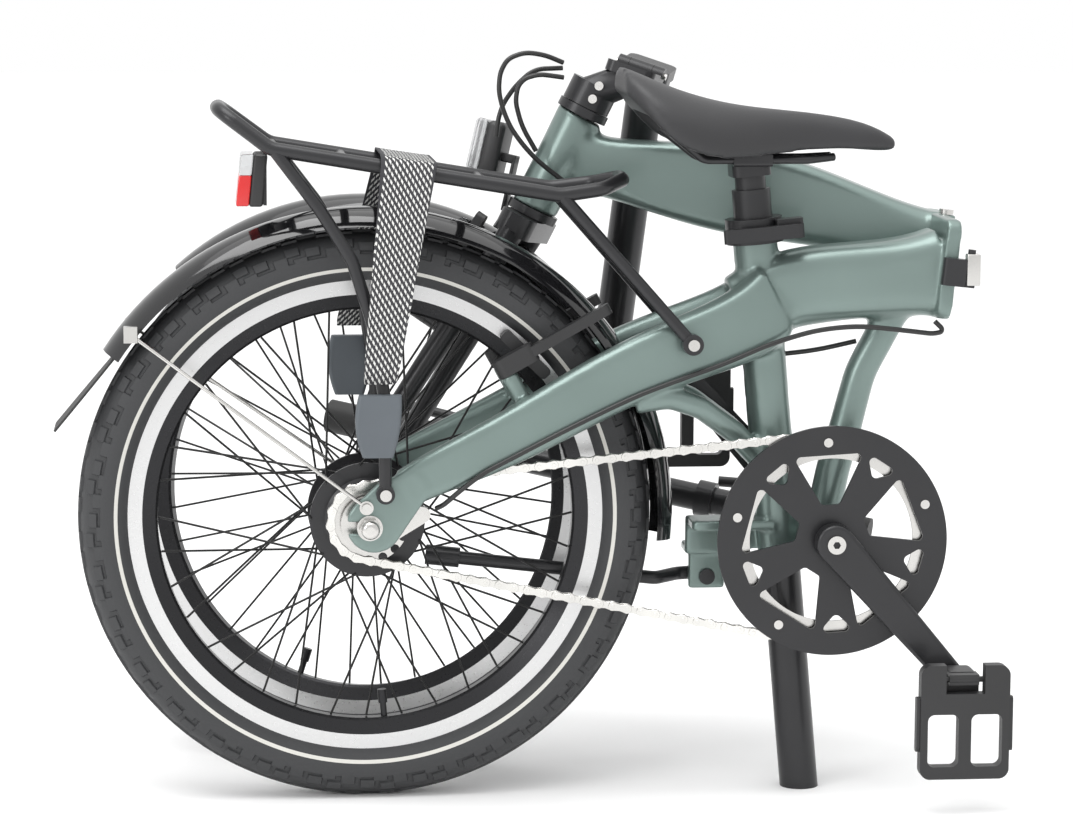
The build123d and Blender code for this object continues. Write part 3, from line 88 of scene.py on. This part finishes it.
def dress(finish, *names):
    """Gives CAD nodes a finish."""
    for name in names:
        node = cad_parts[name]
        if not node.material_slots:
            node.data.materials.append(finish)
        for place in node.material_slots:
            place.material = finish


def as_new_piece(node, name):
    """Copies a CAD node's mesh into a piece of its own, to be reshaped."""
    piece = bpy.data.objects.new(name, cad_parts[node].data.copy())
    bpy.context.scene.collection.objects.link(piece)
    piece.matrix_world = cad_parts[node].matrix_world.copy()
    bpy.ops.object.select_all(action="DESELECT")
    bpy.context.view_layer.objects.active = piece
    piece.select_set(True)
    bpy.ops.object.transform_apply(location=True, rotation=True, scale=True)
    return piece


def apply_all(piece):
    """Applies every modifier of the active piece."""
    bpy.ops.object.select_all(action="DESELECT")
    bpy.context.view_layer.objects.active = piece
    piece.select_set(True)
    for modifier in list(piece.modifiers):
        bpy.ops.object.modifier_apply(modifier=modifier.name)


def skin_over(piece, voxel, rounds, factor=0.5):
    """Closes a mesh over as one soft-edged skin."""
    welded = piece.modifiers.new("closed", "REMESH")
    welded.mode = "VOXEL"
    welded.voxel_size = voxel
    eased = piece.modifiers.new("eased", "SMOOTH")
    eased.factor = factor
    eased.iterations = rounds
    apply_all(piece)
    bpy.ops.object.shade_smooth()


def wear(piece, finish, body, slot, *nodes):
    """Puts a finish on a piece, lets it ride a body and stand for CAD nodes."""
    piece.data.materials.clear()
    piece.data.materials.append(finish)
    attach(piece, body)
    if nodes:
        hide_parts(*nodes)


SKIN_ROUNDS = 3
FLOW_ROUNDS = 90
# each place where the skin flows is X, Z and how far it reaches
REAR_FLOWS = ((0.425, 0.40, 0.085), (0.40, 0.35, 0.05))
FRONT_FLOWS = ((0.205, 0.545, 0.06),)
sage = finish_of("sage metallic paint", (0.185, 0.245, 0.228), 0.34, metallic=0.6, shade=0.93,
                 grain=900.0, coat=0.25)
for node, body, voxel, flows in (("rear_frame", "rear", 0.0022, REAR_FLOWS),
                                 ("front_frame", "front", 0.0019, FRONT_FLOWS)):
    skin = as_new_piece(node, node + "_skin")
    skin_over(skin, voxel, SKIN_ROUNDS)
    melt = skin.vertex_groups.new(name="melt")
    for vertex in skin.data.vertices:
        near = [1 - math.hypot(vertex.co.x - x, vertex.co.z - z) / reach for x, z, reach in flows]
        if max(near) > 0:
            melt.add([vertex.index], min(1.0, 2.0 * max(near)), "REPLACE")
    flow = skin.modifiers.new("flow", "SMOOTH")
    flow.vertex_group = "melt"
    flow.factor = 0.5
    flow.iterations = FLOW_ROUNDS
    apply_all(skin)
    wear(skin, sage, body, "sage_paint", node)

# ---- Black alloy parts
# Seat post, cranks, fork, handlepost, rack and stand are cast or drawn aluminium.
# They share one satin black anodised skin, and are clamped, pressed or bolted in place.
black_alloy = finish_of("satin black anodising", (0.022, 0.022, 0.024), 0.34, metallic=0.3,
                        grain=700.0, coat=0.1)
dress(black_alloy, "fork", "seat_post", "seat_clamp", "seat_clamp_lever", "handlepost", "handlepost_base",
      "handlebar", "kickstand", "right_crank", "left_crank", "chain_guard", "rear_hub_shell",
      "front_hub_shell", "rear_rack", "headset_cups", "bottom_bracket_cups", "frame_latch", "saddle_rails")

# ---- Bright steel and alloy
# Axles, bolts, pins, sprocket and fender stays are plated steel or polished alloy.
# They are turned or drawn, and show faint rub marks.
bright = finish_of("bright plated steel", (0.62, 0.61, 0.59), 0.24, metallic=1.0, shade=0.8, grain=500.0)
dress(bright, "rear_axle", "front_axle", "crank_axle", "frame_hinge_pin", "frame_bolts", "handlepost_pin",
      "handlepost_latch", "pedal_spindles", "rear_sprocket", "chainring",
      "rear_fender_stays", "shift_box")

# ---- Moulded plastic parts
# Pedals, brake arms, levers and lamp shells are moulded in black nylon, and the strap's buckles in slate.
# The moulds leave a fine spark-eroded grain.
plastic = finish_of("moulded black nylon", (0.02, 0.02, 0.021), 0.45, grain=1100.0, bump=0.12)
slate = finish_of("slate buckle nylon", (0.10, 0.115, 0.13), 0.5, grain=1100.0, bump=0.12)
dress(plastic, "right_pedal_hub", "left_pedal_hub", "right_pedal_platform", "left_pedal_platform",
      "right_brake_lever", "left_brake_lever", "rear_brake_right", "rear_brake_left", "front_brake_left",
      "front_brake_right")
dress(slate, "strap_buckles")

# ---- Fenders
# Thin moulded polycarbonate arcs, pigmented black and glossy, bolted at the bridge and held by stays.
# The rear one ends in a soft rubber flap, and the grips are of the same rubber.
gloss = finish_of("gloss black fender", (0.008, 0.008, 0.009), 0.09, grain=300.0, bump=0.01, coat=0.6)
dress(gloss, "rear_fender", "front_fender")
rubber = finish_of("soft black rubber", (0.02, 0.02, 0.02), 0.6, grain=800.0, bump=0.2)
dress(rubber, "mudflap", "grips")

# ---- Spokes and cables
# Stainless spokes with a black coat, crossed from hub flange to rim.
# The shift and brake cables are steel in a black plastic cover, clipped under the frame.
spoke_black = finish_of("black coated spoke", (0.02, 0.02, 0.02), 0.3, metallic=0.6, grain=600.0)
dress(spoke_black, "rear_spokes", "front_spokes")
cover = finish_of("cable cover", (0.018, 0.018, 0.018), 0.32, grain=900.0)
dress(cover, "rear_cables", "front_cables")

# ---- Wheels
# Twenty-inch alloy rims with machined brake tracks and black wells.
# Road tyres with slanting grooves in the tread, and a pale stripe moulded on each wall.
REAR_AT = Vector((0.0, 0.0, 0.25))
FRONT_AT = Vector((0.0025, 0.1546, 0.2487))
FRONT_AXIS = Vector((-0.31981, -0.94144, 0.10685)).normalized()
rear_turn = Matrix.Identity(3)
front_turn = Vector((0, -1, 0)).rotation_difference(FRONT_AXIS).to_matrix()


def wheel_distance(finish, at, turn):
    """Socket that gives the distance from a wheel's axle."""
    nodes, links = finish.node_tree.nodes, finish.node_tree.links
    place = nodes.new("ShaderNodeTexCoord")
    centred = nodes.new("ShaderNodeMapping")
    centred.vector_type = "TEXTURE"
    centred.inputs["Location"].default_value = at
    centred.inputs["Rotation"].default_value = turn.to_euler("XYZ")
    split = nodes.new("ShaderNodeSeparateXYZ")
    flat = nodes.new("ShaderNodeCombineXYZ")
    away = nodes.new("ShaderNodeVectorMath")
    away.operation = "LENGTH"
    links.new(place.outputs["Object"], centred.inputs["Vector"])
    links.new(centred.outputs["Vector"], split.inputs["Vector"])
    links.new(split.outputs["X"], flat.inputs["X"])
    links.new(split.outputs["Z"], flat.inputs["Z"])
    links.new(flat.outputs["Vector"], away.inputs[0])
    return away.outputs["Value"]


BAND_FROM = 0.17
BAND_TO = 0.26


def banded(name, at, turn, bands, rough, metallic, grain=500.0, bump=0.05):
    """Finish whose colour changes with the distance from the axle; bands are (from radius, colour)."""
    finish = bpy.data.materials.new(name)
    finish.use_nodes = True
    nodes, links = finish.node_tree.nodes, finish.node_tree.links
    shader = nodes["Principled BSDF"]
    shader.inputs["Metallic"].default_value = metallic
    away = wheel_distance(finish, at, turn)
    scaled = nodes.new("ShaderNodeMapRange")
    scaled.inputs["From Min"].default_value = BAND_FROM
    scaled.inputs["From Max"].default_value = BAND_TO
    ramp = nodes.new("ShaderNodeValToRGB")
    ramp.color_ramp.interpolation = "CONSTANT"
    for i, (start, colour) in enumerate(bands):
        share = (start - BAND_FROM) / (BAND_TO - BAND_FROM)
        stop = ramp.color_ramp.elements[0] if i == 0 else ramp.color_ramp.elements.new(share)
        stop.position = share
        stop.color = (*colour, 1)
    ramp.color_ramp.elements.remove(ramp.color_ramp.elements[-1])
    speck = nodes.new("ShaderNodeTexNoise")
    speck.inputs["Scale"].default_value = grain
    place = nodes.new("ShaderNodeTexCoord")
    spread = nodes.new("ShaderNodeMapRange")
    spread.inputs["To Min"].default_value = rough - 0.08
    spread.inputs["To Max"].default_value = rough + 0.08
    relief = nodes.new("ShaderNodeBump")
    relief.inputs["Strength"].default_value = bump
    relief.inputs["Distance"].default_value = 0.0005
    links.new(place.outputs["Object"], speck.inputs["Vector"])
    links.new(away, scaled.inputs["Value"])
    links.new(scaled.outputs["Result"], ramp.inputs["Fac"])
    links.new(ramp.outputs["Color"], shader.inputs["Base Color"])
    links.new(speck.outputs["Fac"], spread.inputs["Value"])
    links.new(spread.outputs["Result"], shader.inputs["Roughness"])
    links.new(speck.outputs["Fac"], relief.inputs["Height"])
    links.new(relief.outputs["Normal"], shader.inputs["Normal"])
    return finish


TYRE_DARK = (0.035, 0.036, 0.038)
STRIPE_PALE = (0.62, 0.61, 0.57)
RIM_BLACK = (0.03, 0.03, 0.032)
TRACK_BRIGHT = (0.62, 0.62, 0.62)
TRACK_FROM = 0.194
STRIPE_FROM = 0.2152
STRIPE_TO = 0.2182
CASING_MIDDLE = 0.2265
CASING_RADIUS = 0.0234
TREAD_FROM = 0.2285
GROOVES = 96
GROOVE_SHARE = 0.34
GROOVE_SLANT = 1.9
CENTRE_RIB = 0.0022
for name, at, turn, body in (("rear", REAR_AT, rear_turn, "rear_wheel"),
                             ("front", FRONT_AT, front_turn, "front_wheel")):
    rim_look = banded(name + " rim anodising and brake track", at, turn,
                      [(BAND_FROM, RIM_BLACK), (TRACK_FROM, TRACK_BRIGHT)], 0.3, 0.8)
    dress(rim_look, name + "_rim")
    tyre_look = banded(name + " tyre rubber and stripe", at, turn,
                       [(BAND_FROM, TYRE_DARK), (STRIPE_FROM, STRIPE_PALE), (STRIPE_TO, TYRE_DARK)],
                       0.62, 0.0, bump=0.3)
    bpy.ops.object.select_all(action="DESELECT")
    bpy.ops.mesh.primitive_torus_add(major_radius=CASING_MIDDLE, minor_radius=CASING_RADIUS,
                                     major_segments=3 * GROOVES, minor_segments=40,
                                     rotation=(math.pi / 2, 0, 0))
    tyre = bpy.context.object
    tyre.name = name + "_tyre_casing"
    bpy.ops.object.transform_apply(location=True, rotation=True, scale=True)
    for face in tyre.data.polygons:
        middle = face.center
        away = math.hypot(middle.x, middle.z)
        step = math.atan2(middle.z, middle.x) / (2 * math.pi) * GROOVES
        lean = abs(middle.y) / CASING_RADIUS * GROOVE_SLANT
        in_groove = (step + lean) % 1.0 < GROOVE_SHARE
        face.select = away > TREAD_FROM and in_groove and abs(middle.y) > CENTRE_RIB
    for vertex in tyre.data.vertices:
        vertex.select = False
    for edge in tyre.data.edges:
        edge.select = False
    bpy.ops.object.mode_set(mode="EDIT")
    bpy.ops.mesh.select_mode(type="FACE")
    bpy.ops.mesh.inset(thickness=0.0009, depth=-0.0018)
    bpy.ops.object.mode_set(mode="OBJECT")
    bpy.ops.object.shade_smooth_by_angle(angle=math.radians(32))
    tyre.data.transform(turn.to_4x4())
    tyre.data.transform(Matrix.Translation(at))
    wear(tyre, tyre_look, body, "tyre", name + "_tyre")

# ---- Saddle
# Foam on a moulded base, under a stretched vinyl cover: a rounded tail and a long nose.
# It is clamped by its two rails to the head of the seat post.
vinyl = finish_of("saddle vinyl", (0.025, 0.025, 0.027), 0.48, grain=900.0, bump=0.25)
saddle = as_new_piece("saddle_cover", "saddle_padding")
skin_over(saddle, 0.003, 12)
wear(saddle, vinyl, "seat", "saddle_skin", "saddle_cover")

# ---- Luggage strap
# Webbing woven from black and white yarn, stretched over the rack from one buckle to the other.
# Each end is sewn to its buckle, and the band widens where it crosses the rack.
STRAP_LINE = [((8, -92, 376), 29), ((15, -83, 425), 34), ((26, -69, 500), 41), ((33.5, -59.6, 551), 47),
              ((35, -56.6, 560), 48), ((35, -53, 563.4), 48), ((35, -30, 563.6), 48), ((35, 0, 563.6), 48),
              ((35, 30, 563.6), 48), ((35, 53, 563.4), 48), ((35, 56.6, 560), 48), ((33, 59, 551), 47),
              ((18, 71, 500), 42), ((2, 83, 438), 35), ((-8, 90, 406), 29)]
ACROSS = 12
corners, quads, chart = [], [], []
gone = 0.0
for i, (spot, wide) in enumerate(STRAP_LINE):
    here = Vector(spot) / 1000
    if i:
        gone += (here - Vector(STRAP_LINE[i - 1][0]) / 1000).length
    for j in range(ACROSS + 1):
        share = j / ACROSS - 0.5
        slope = -0.162 if 560 < spot[2] and abs(spot[1]) < 55 else 0.0
        corners.append(here + Vector((share * wide, 0, share * wide * slope)) / 1000)
        chart.append((share * wide / 1000, gone))
for i in range(len(STRAP_LINE) - 1):
    for j in range(ACROSS):
        first = i * (ACROSS + 1) + j
        quads.append((first, first + ACROSS + 1, first + ACROSS + 2, first + 1))
strap_mesh = bpy.data.meshes.new("webbing_band")
strap_mesh.from_pydata(corners, [], quads)
weave_map = strap_mesh.uv_layers.new(name="weave")
for loop in strap_mesh.loops:
    weave_map.data[loop.index].uv = chart[loop.vertex_index]
strap = bpy.data.objects.new("webbing_band", strap_mesh)
bpy.context.scene.collection.objects.link(strap)
bend = strap.modifiers.new("rounded", "SUBSURF")
bend.levels = 2
bend.render_levels = 2
thick = strap.modifiers.new("thick", "SOLIDIFY")
thick.thickness = 0.0016
thick.offset = 0.0
apply_all(strap)
bpy.ops.object.shade_smooth()

webbing = finish_of("strap webbing", (0.05, 0.05, 0.055), 0.8, grain=1500.0, bump=0.4)
nodes, links = webbing.node_tree.nodes, webbing.node_tree.links
yarn_map = nodes.new("ShaderNodeUVMap")
yarn_map.uv_map = "weave"
split = nodes.new("ShaderNodeSeparateXYZ")
links.new(yarn_map.outputs["UV"], split.inputs["Vector"])


def sum_of(operation, a, b):
    """Math node over two values or sockets."""
    node = nodes.new("ShaderNodeMath")
    node.operation = operation
    for socket, value in zip(node.inputs, (a, b)):
        if isinstance(value, (int, float)):
            socket.default_value = value
        else:
            links.new(value, socket)
    return node.outputs["Value"]


lean = sum_of("ADD", sum_of("MULTIPLY", split.outputs["X"], 210.0),
              sum_of("MULTIPLY", split.outputs["Y"], 150.0))
rows = sum_of("MULTIPLY", split.outputs["X"], 330.0)
dash = sum_of("LESS_THAN", sum_of("FRACT", lean, 0.0), 0.42)
gap = sum_of("GREATER_THAN", sum_of("FRACT", rows, 0.0), 0.3)
yarn = sum_of("MULTIPLY", dash, gap)
edge = sum_of("LESS_THAN", sum_of("ABSOLUTE", split.outputs["X"], 0.0), 0.021)
yarn = sum_of("MULTIPLY", yarn, edge)
tint = nodes.new("ShaderNodeValToRGB")
tint.color_ramp.elements[0].color = (0.03, 0.03, 0.034, 1)
tint.color_ramp.elements[1].color = (0.62, 0.62, 0.60, 1)
links.new(yarn, tint.inputs["Fac"])
links.new(tint.outputs["Color"], nodes["Principled BSDF"].inputs["Base Color"])
wear(strap, webbing, "rear", "strap_web", "luggage_strap")

# ---- Chain
# Half-inch roller chain of nickel-plated steel: waisted plates in pairs, riveted over rollers.
# It runs round a 46-tooth chainring and a 16-tooth sprocket.
PITCH = 0.0127
RING_TEETH = 46
SPROCKET_TEETH = 16
CHAIN_LINE = -0.045
RING_AT = Vector((0.4045, 0.23))
SPROCKET_AT = Vector((0.0, 0.25))
RING_PITCH = PITCH / (2 * math.sin(math.pi / RING_TEETH))
SPROCKET_PITCH = PITCH / (2 * math.sin(math.pi / SPROCKET_TEETH))


def link_plate(name, across, thick, tall):
    """One waisted side plate, its two ends centred one pitch apart along X."""
    bpy.ops.object.select_all(action="DESELECT")
    bpy.ops.mesh.primitive_cylinder_add(vertices=20, radius=tall, depth=thick, rotation=(math.pi / 2, 0, 0))
    plate = bpy.context.object
    plate.name = name
    bpy.ops.object.transform_apply(location=True, rotation=True, scale=True)
    for vertex in plate.data.vertices:
        vertex.co.x += PITCH / 2 if vertex.co.x > 1e-5 else -PITCH / 2
    bpy.ops.object.mode_set(mode="EDIT")
    bpy.ops.mesh.select_all(action="SELECT")
    bpy.ops.mesh.bisect(plane_co=(0, 0, 0), plane_no=(1, 0, 0))
    bpy.ops.object.mode_set(mode="OBJECT")
    for vertex in plate.data.vertices:
        vertex.co.y += across
        if abs(vertex.co.x) < 1e-5:
            vertex.co.z *= 0.7
    return plate


def rivet(name, at, radius, half):
    """Roller or rivet across the chain."""
    bpy.ops.object.select_all(action="DESELECT")
    bpy.ops.mesh.primitive_cylinder_add(vertices=14, radius=radius, depth=2 * half,
                                        location=(at, 0, 0), rotation=(math.pi / 2, 0, 0))
    pin = bpy.context.object
    pin.name = name
    bpy.ops.object.transform_apply(location=True, rotation=True, scale=True)
    return pin


def joined(pieces, name):
    """Joins pieces into one object."""
    bpy.ops.object.select_all(action="DESELECT")
    for piece in pieces:
        piece.select_set(True)
    bpy.context.view_layer.objects.active = pieces[0]
    bpy.ops.object.join()
    pieces[0].name = name
    return pieces[0]


outer_link = joined([link_plate("outer", side * 0.0029, 0.0010, 0.0041) for side in (-1, 1)]
                    + [rivet("rivet", side * PITCH / 2, 0.0018, 0.0035) for side in (-1, 1)], "outer_link")
inner_link = joined([link_plate("inner", side * 0.0018, 0.0010, 0.0041) for side in (-1, 1)]
                    + [rivet("roller", side * PITCH / 2, 0.0037, 0.0013) for side in (-1, 1)], "inner_link")
run = RING_AT - SPROCKET_AT
opening = math.asin((RING_PITCH - SPROCKET_PITCH) / run.length)
slope = math.atan2(run.y, run.x)
straight = run.length * math.cos(opening)
ring_turn = math.pi + 2 * opening
sprocket_turn = math.pi - 2 * opening
whole = 2 * straight + RING_PITCH * ring_turn + SPROCKET_PITCH * sprocket_turn


def chain_spot(gone):
    """Place and heading on the pitch line, a distance on from the top of the sprocket."""
    top = slope + math.pi / 2 + opening
    if gone < straight:
        start = SPROCKET_AT + Vector((math.cos(top), math.sin(top))) * SPROCKET_PITCH
        way = top - math.pi / 2
        return start + Vector((math.cos(way), math.sin(way))) * gone, way
    gone -= straight
    if gone < RING_PITCH * ring_turn:
        at = top - gone / RING_PITCH
        return RING_AT + Vector((math.cos(at), math.sin(at))) * RING_PITCH, at - math.pi / 2
    gone -= RING_PITCH * ring_turn
    low = slope - math.pi / 2 - opening
    if gone < straight:
        start = RING_AT + Vector((math.cos(low), math.sin(low))) * RING_PITCH
        way = low - math.pi / 2
        return start + Vector((math.cos(way), math.sin(way))) * gone, way
    gone -= straight
    at = low - gone / SPROCKET_PITCH
    return SPROCKET_AT + Vector((math.cos(at), math.sin(at))) * SPROCKET_PITCH, at - math.pi / 2


links_in_all = 2 * round(whole / PITCH / 2)
chain_pieces = []
for i in range(links_in_all):
    source = (outer_link, inner_link)[i % 2]
    near, _ = chain_spot(i * whole / links_in_all)
    far, _ = chain_spot((i + 1) % links_in_all * whole / links_in_all)
    middle = (near + far) / 2
    way = math.atan2(far.y - near.y, far.x - near.x)
    piece = bpy.data.objects.new("link", source.data.copy())
    bpy.context.scene.collection.objects.link(piece)
    piece.data.transform(Matrix.Rotation(-way, 4, "Y"))
    piece.data.transform(Matrix.Translation((middle.x, CHAIN_LINE, middle.y)))
    chain_pieces.append(piece)
for spare in (outer_link, inner_link):
    bpy.data.objects.remove(spare)
chain_links = joined(chain_pieces, "chain_links")
chain_edge = chain_links.modifiers.new("edges", "BEVEL")
chain_edge.width = 0.0002
chain_edge.segments = 1
apply_all(chain_links)
nickel = finish_of("nickel plated chain", (0.78, 0.77, 0.74), 0.22, metallic=1.0, shade=0.75, grain=900.0)
wear(chain_links, nickel, "rear", "bright_steel", "chain")

# ---- Lamps
# The rear lamp is a dark nylon shell with a clear upper and a red lower lens, bolted to the rack's end plate.
# The front lamp is a black shell on a stalk, with a clear lens, and stands ahead of the fork crown.
HINGE_AT = Vector((0.514, 0.040, 0.464))
HINGE_LEAN = math.radians(6.3)
HINGE_AXIS = Vector((math.sin(HINGE_LEAN), 0, math.cos(HINGE_LEAN)))
STEERER_AT = Vector((0.885, 0, 0.401))
STEERER_LEAN = math.radians(13.7)
STEERER_AXIS = Vector((-math.sin(STEERER_LEAN), 0, math.cos(STEERER_LEAN)))


def turned_about(at, axis, degrees):
    """Turn about an axis through a place."""
    turn = Matrix.Rotation(math.radians(degrees), 4, axis)
    return Matrix.Translation(at) @ turn @ Matrix.Translation(-at)


FOLD = turned_about(HINGE_AT, HINGE_AXIS, 172)
STEER = turned_about(STEERER_AT, STEERER_AXIS, -12)


def clear_finish(name, colour, through):
    """Clear or tinted lens plastic with a faint moulded ripple."""
    finish = finish_of(name, colour, 0.12, shade=0.8, grain=350.0, bump=0.15, coat=0.5)
    finish.node_tree.nodes["Principled BSDF"].inputs["Transmission Weight"].default_value = through
    return finish


def block(name, low, high, bevel, ribs=0, lean=0.0):
    """Rounded moulding between two corners; ribs run up its face on the low X side, and lean slants it."""
    size = Vector(high) - Vector(low)
    bpy.ops.object.select_all(action="DESELECT")
    bpy.ops.mesh.primitive_cube_add(size=1, location=(Vector(low) + Vector(high)) / 2, scale=size)
    piece = bpy.context.object
    piece.name = name
    bpy.ops.object.transform_apply(location=True, rotation=True, scale=True)
    bpy.ops.object.mode_set(mode="EDIT")
    bpy.ops.mesh.select_all(action="SELECT")
    bpy.ops.mesh.bevel(offset=bevel, segments=4, affect="EDGES")
    for i in range(1, ribs):
        bpy.ops.mesh.select_all(action="SELECT")
        bpy.ops.mesh.bisect(plane_co=(0, low[1] + size.y * i / ribs, 0), plane_no=(0, 1, 0))
    bpy.ops.object.mode_set(mode="OBJECT")
    for vertex in piece.data.vertices:
        if ribs and abs(vertex.co.x - low[0]) < 1e-6:
            row = round((vertex.co.y - low[1]) / size.y * ribs)
            vertex.co.x += 0.0012 if row % 2 else 0.0
        vertex.co.x += (vertex.co.z - low[2]) * lean
    bpy.ops.object.shade_smooth_by_angle(angle=math.radians(35))
    return piece


clear = clear_finish("clear lens", (0.85, 0.86, 0.87), 0.75)
red = clear_finish("red lens", (0.72, 0.012, 0.012), 0.15)
rear_shell = block("rear_lamp_shell", (-0.1005, -0.0235, 0.521), (-0.0885, 0.0235, 0.566), 0.0025, lean=0.10)
wear(rear_shell, plastic, "rear", "black_plastic", "rear_light")
red_lens = block("rear_lamp_red_lens", (-0.1115, -0.0235, 0.5215), (-0.1005, 0.0235, 0.548), 0.0015,
                 ribs=8, lean=0.10)
wear(red_lens, red, "rear", "lamp_red")
clear_lens = block("rear_lamp_clear_lens", (-0.1088, -0.0235, 0.548), (-0.0979, 0.0235, 0.566), 0.0015,
                   ribs=8, lean=0.10)
wear(clear_lens, clear, "rear", "bright_steel")

front_shell = joined([block("front_lamp_shell", (0.917, -0.021, 0.4395), (0.9345, 0.021, 0.4965), 0.006),
                      block("front_lamp_foot", (0.904, -0.008, 0.419), (0.907, 0.008, 0.470), 0.0008),
                      block("front_lamp_stalk", (0.904, -0.008, 0.462), (0.920, 0.008, 0.470), 0.0015)],
                     "front_lamp_shell")
front_shell.data.transform(FOLD @ STEER)
wear(front_shell, plastic, "steerer", "black_plastic", "headlight")
front_lens = block("front_lamp_lens", (0.934, -0.0205, 0.447), (0.9455, 0.0205, 0.4965), 0.004, ribs=0)
front_lens.data.transform(FOLD @ STEER)
wear(front_lens, clear, "steerer", "bright_steel")

# ---- Hinge latch plate
# Bright hook plate that the black latch lever pulls tight, riveted to its outer side.
reach_low, reach_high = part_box("frame_latch")
hook = block("latch_hook_plate", (reach_high[0] - 0.009, reach_low[1] + 0.0005, reach_low[2] + 0.002),
             (reach_high[0] + 0.003, reach_high[1] - 0.0005, reach_high[2] - 0.004), 0.0012)
wear(hook, bright, "frame_latch", "bright_steel")

# ---- Floor, light and camera
# A plain pale floor, two broad soft lamps and a bright even surround.
bpy.ops.object.select_all(action="DESELECT")
bpy.ops.mesh.primitive_plane_add(size=30)
floor = bpy.context.object
floor.name = "studio_floor"
floor_look = finish_of("pale studio floor", (0.93, 0.93, 0.93), 0.9, shade=0.99)
floor.data.materials.append(floor_look)


def lamp(name, at, target, size, power):
    """Square soft lamp that shines at a target."""
    bpy.ops.object.light_add(type="AREA", location=at)
    light = bpy.context.object
    light.name = name
    light.data.size = size
    light.data.energy = power
    light.rotation_euler = (Vector(target) - Vector(at)).to_track_quat("-Z", "Y").to_euler()


lamp("overhead softbox", (-0.4, -0.5, 2.6), (0.1, 0.0, 0.2), 1.8, 34)
lamp("left softbox", (-2.4, -2.2, 1.5), (0.1, 0.0, 0.3), 1.2, 22)
bpy.ops.object.light_add(type="SUN", location=(0, 0, 4))
sky = bpy.context.object
sky.name = "ceiling light"
sky.data.energy = 0.75
sky.data.angle = math.radians(70)

world = bpy.data.worlds.new("bright surround")
bpy.context.scene.world = world
world.use_nodes = True
world.node_tree.nodes["Background"].inputs["Color"].default_value = (1, 1, 1, 1)
world.node_tree.nodes["Background"].inputs["Strength"].default_value = 1.0
bpy.context.scene.view_settings.view_transform = "Standard"

camera_data = bpy.data.cameras.new("camera")
camera = bpy.data.objects.new("camera", camera_data)
bpy.context.scene.collection.objects.link(camera)
camera_data.sensor_width = 36.0
camera_data.lens = 119.74
camera_data.clip_start = 0.05
heading = Matrix.Rotation(math.radians(-5.516), 4, "Z")
tilt = Matrix.Rotation(math.radians(90 - 7.948), 4, "X")
roll = Matrix.Rotation(math.radians(0.25), 4, "Z")
camera.matrix_world = Matrix.Translation((-0.1478, -3.081, 0.7638)) @ heading @ tilt @ roll
bpy.context.scene.camera = camera
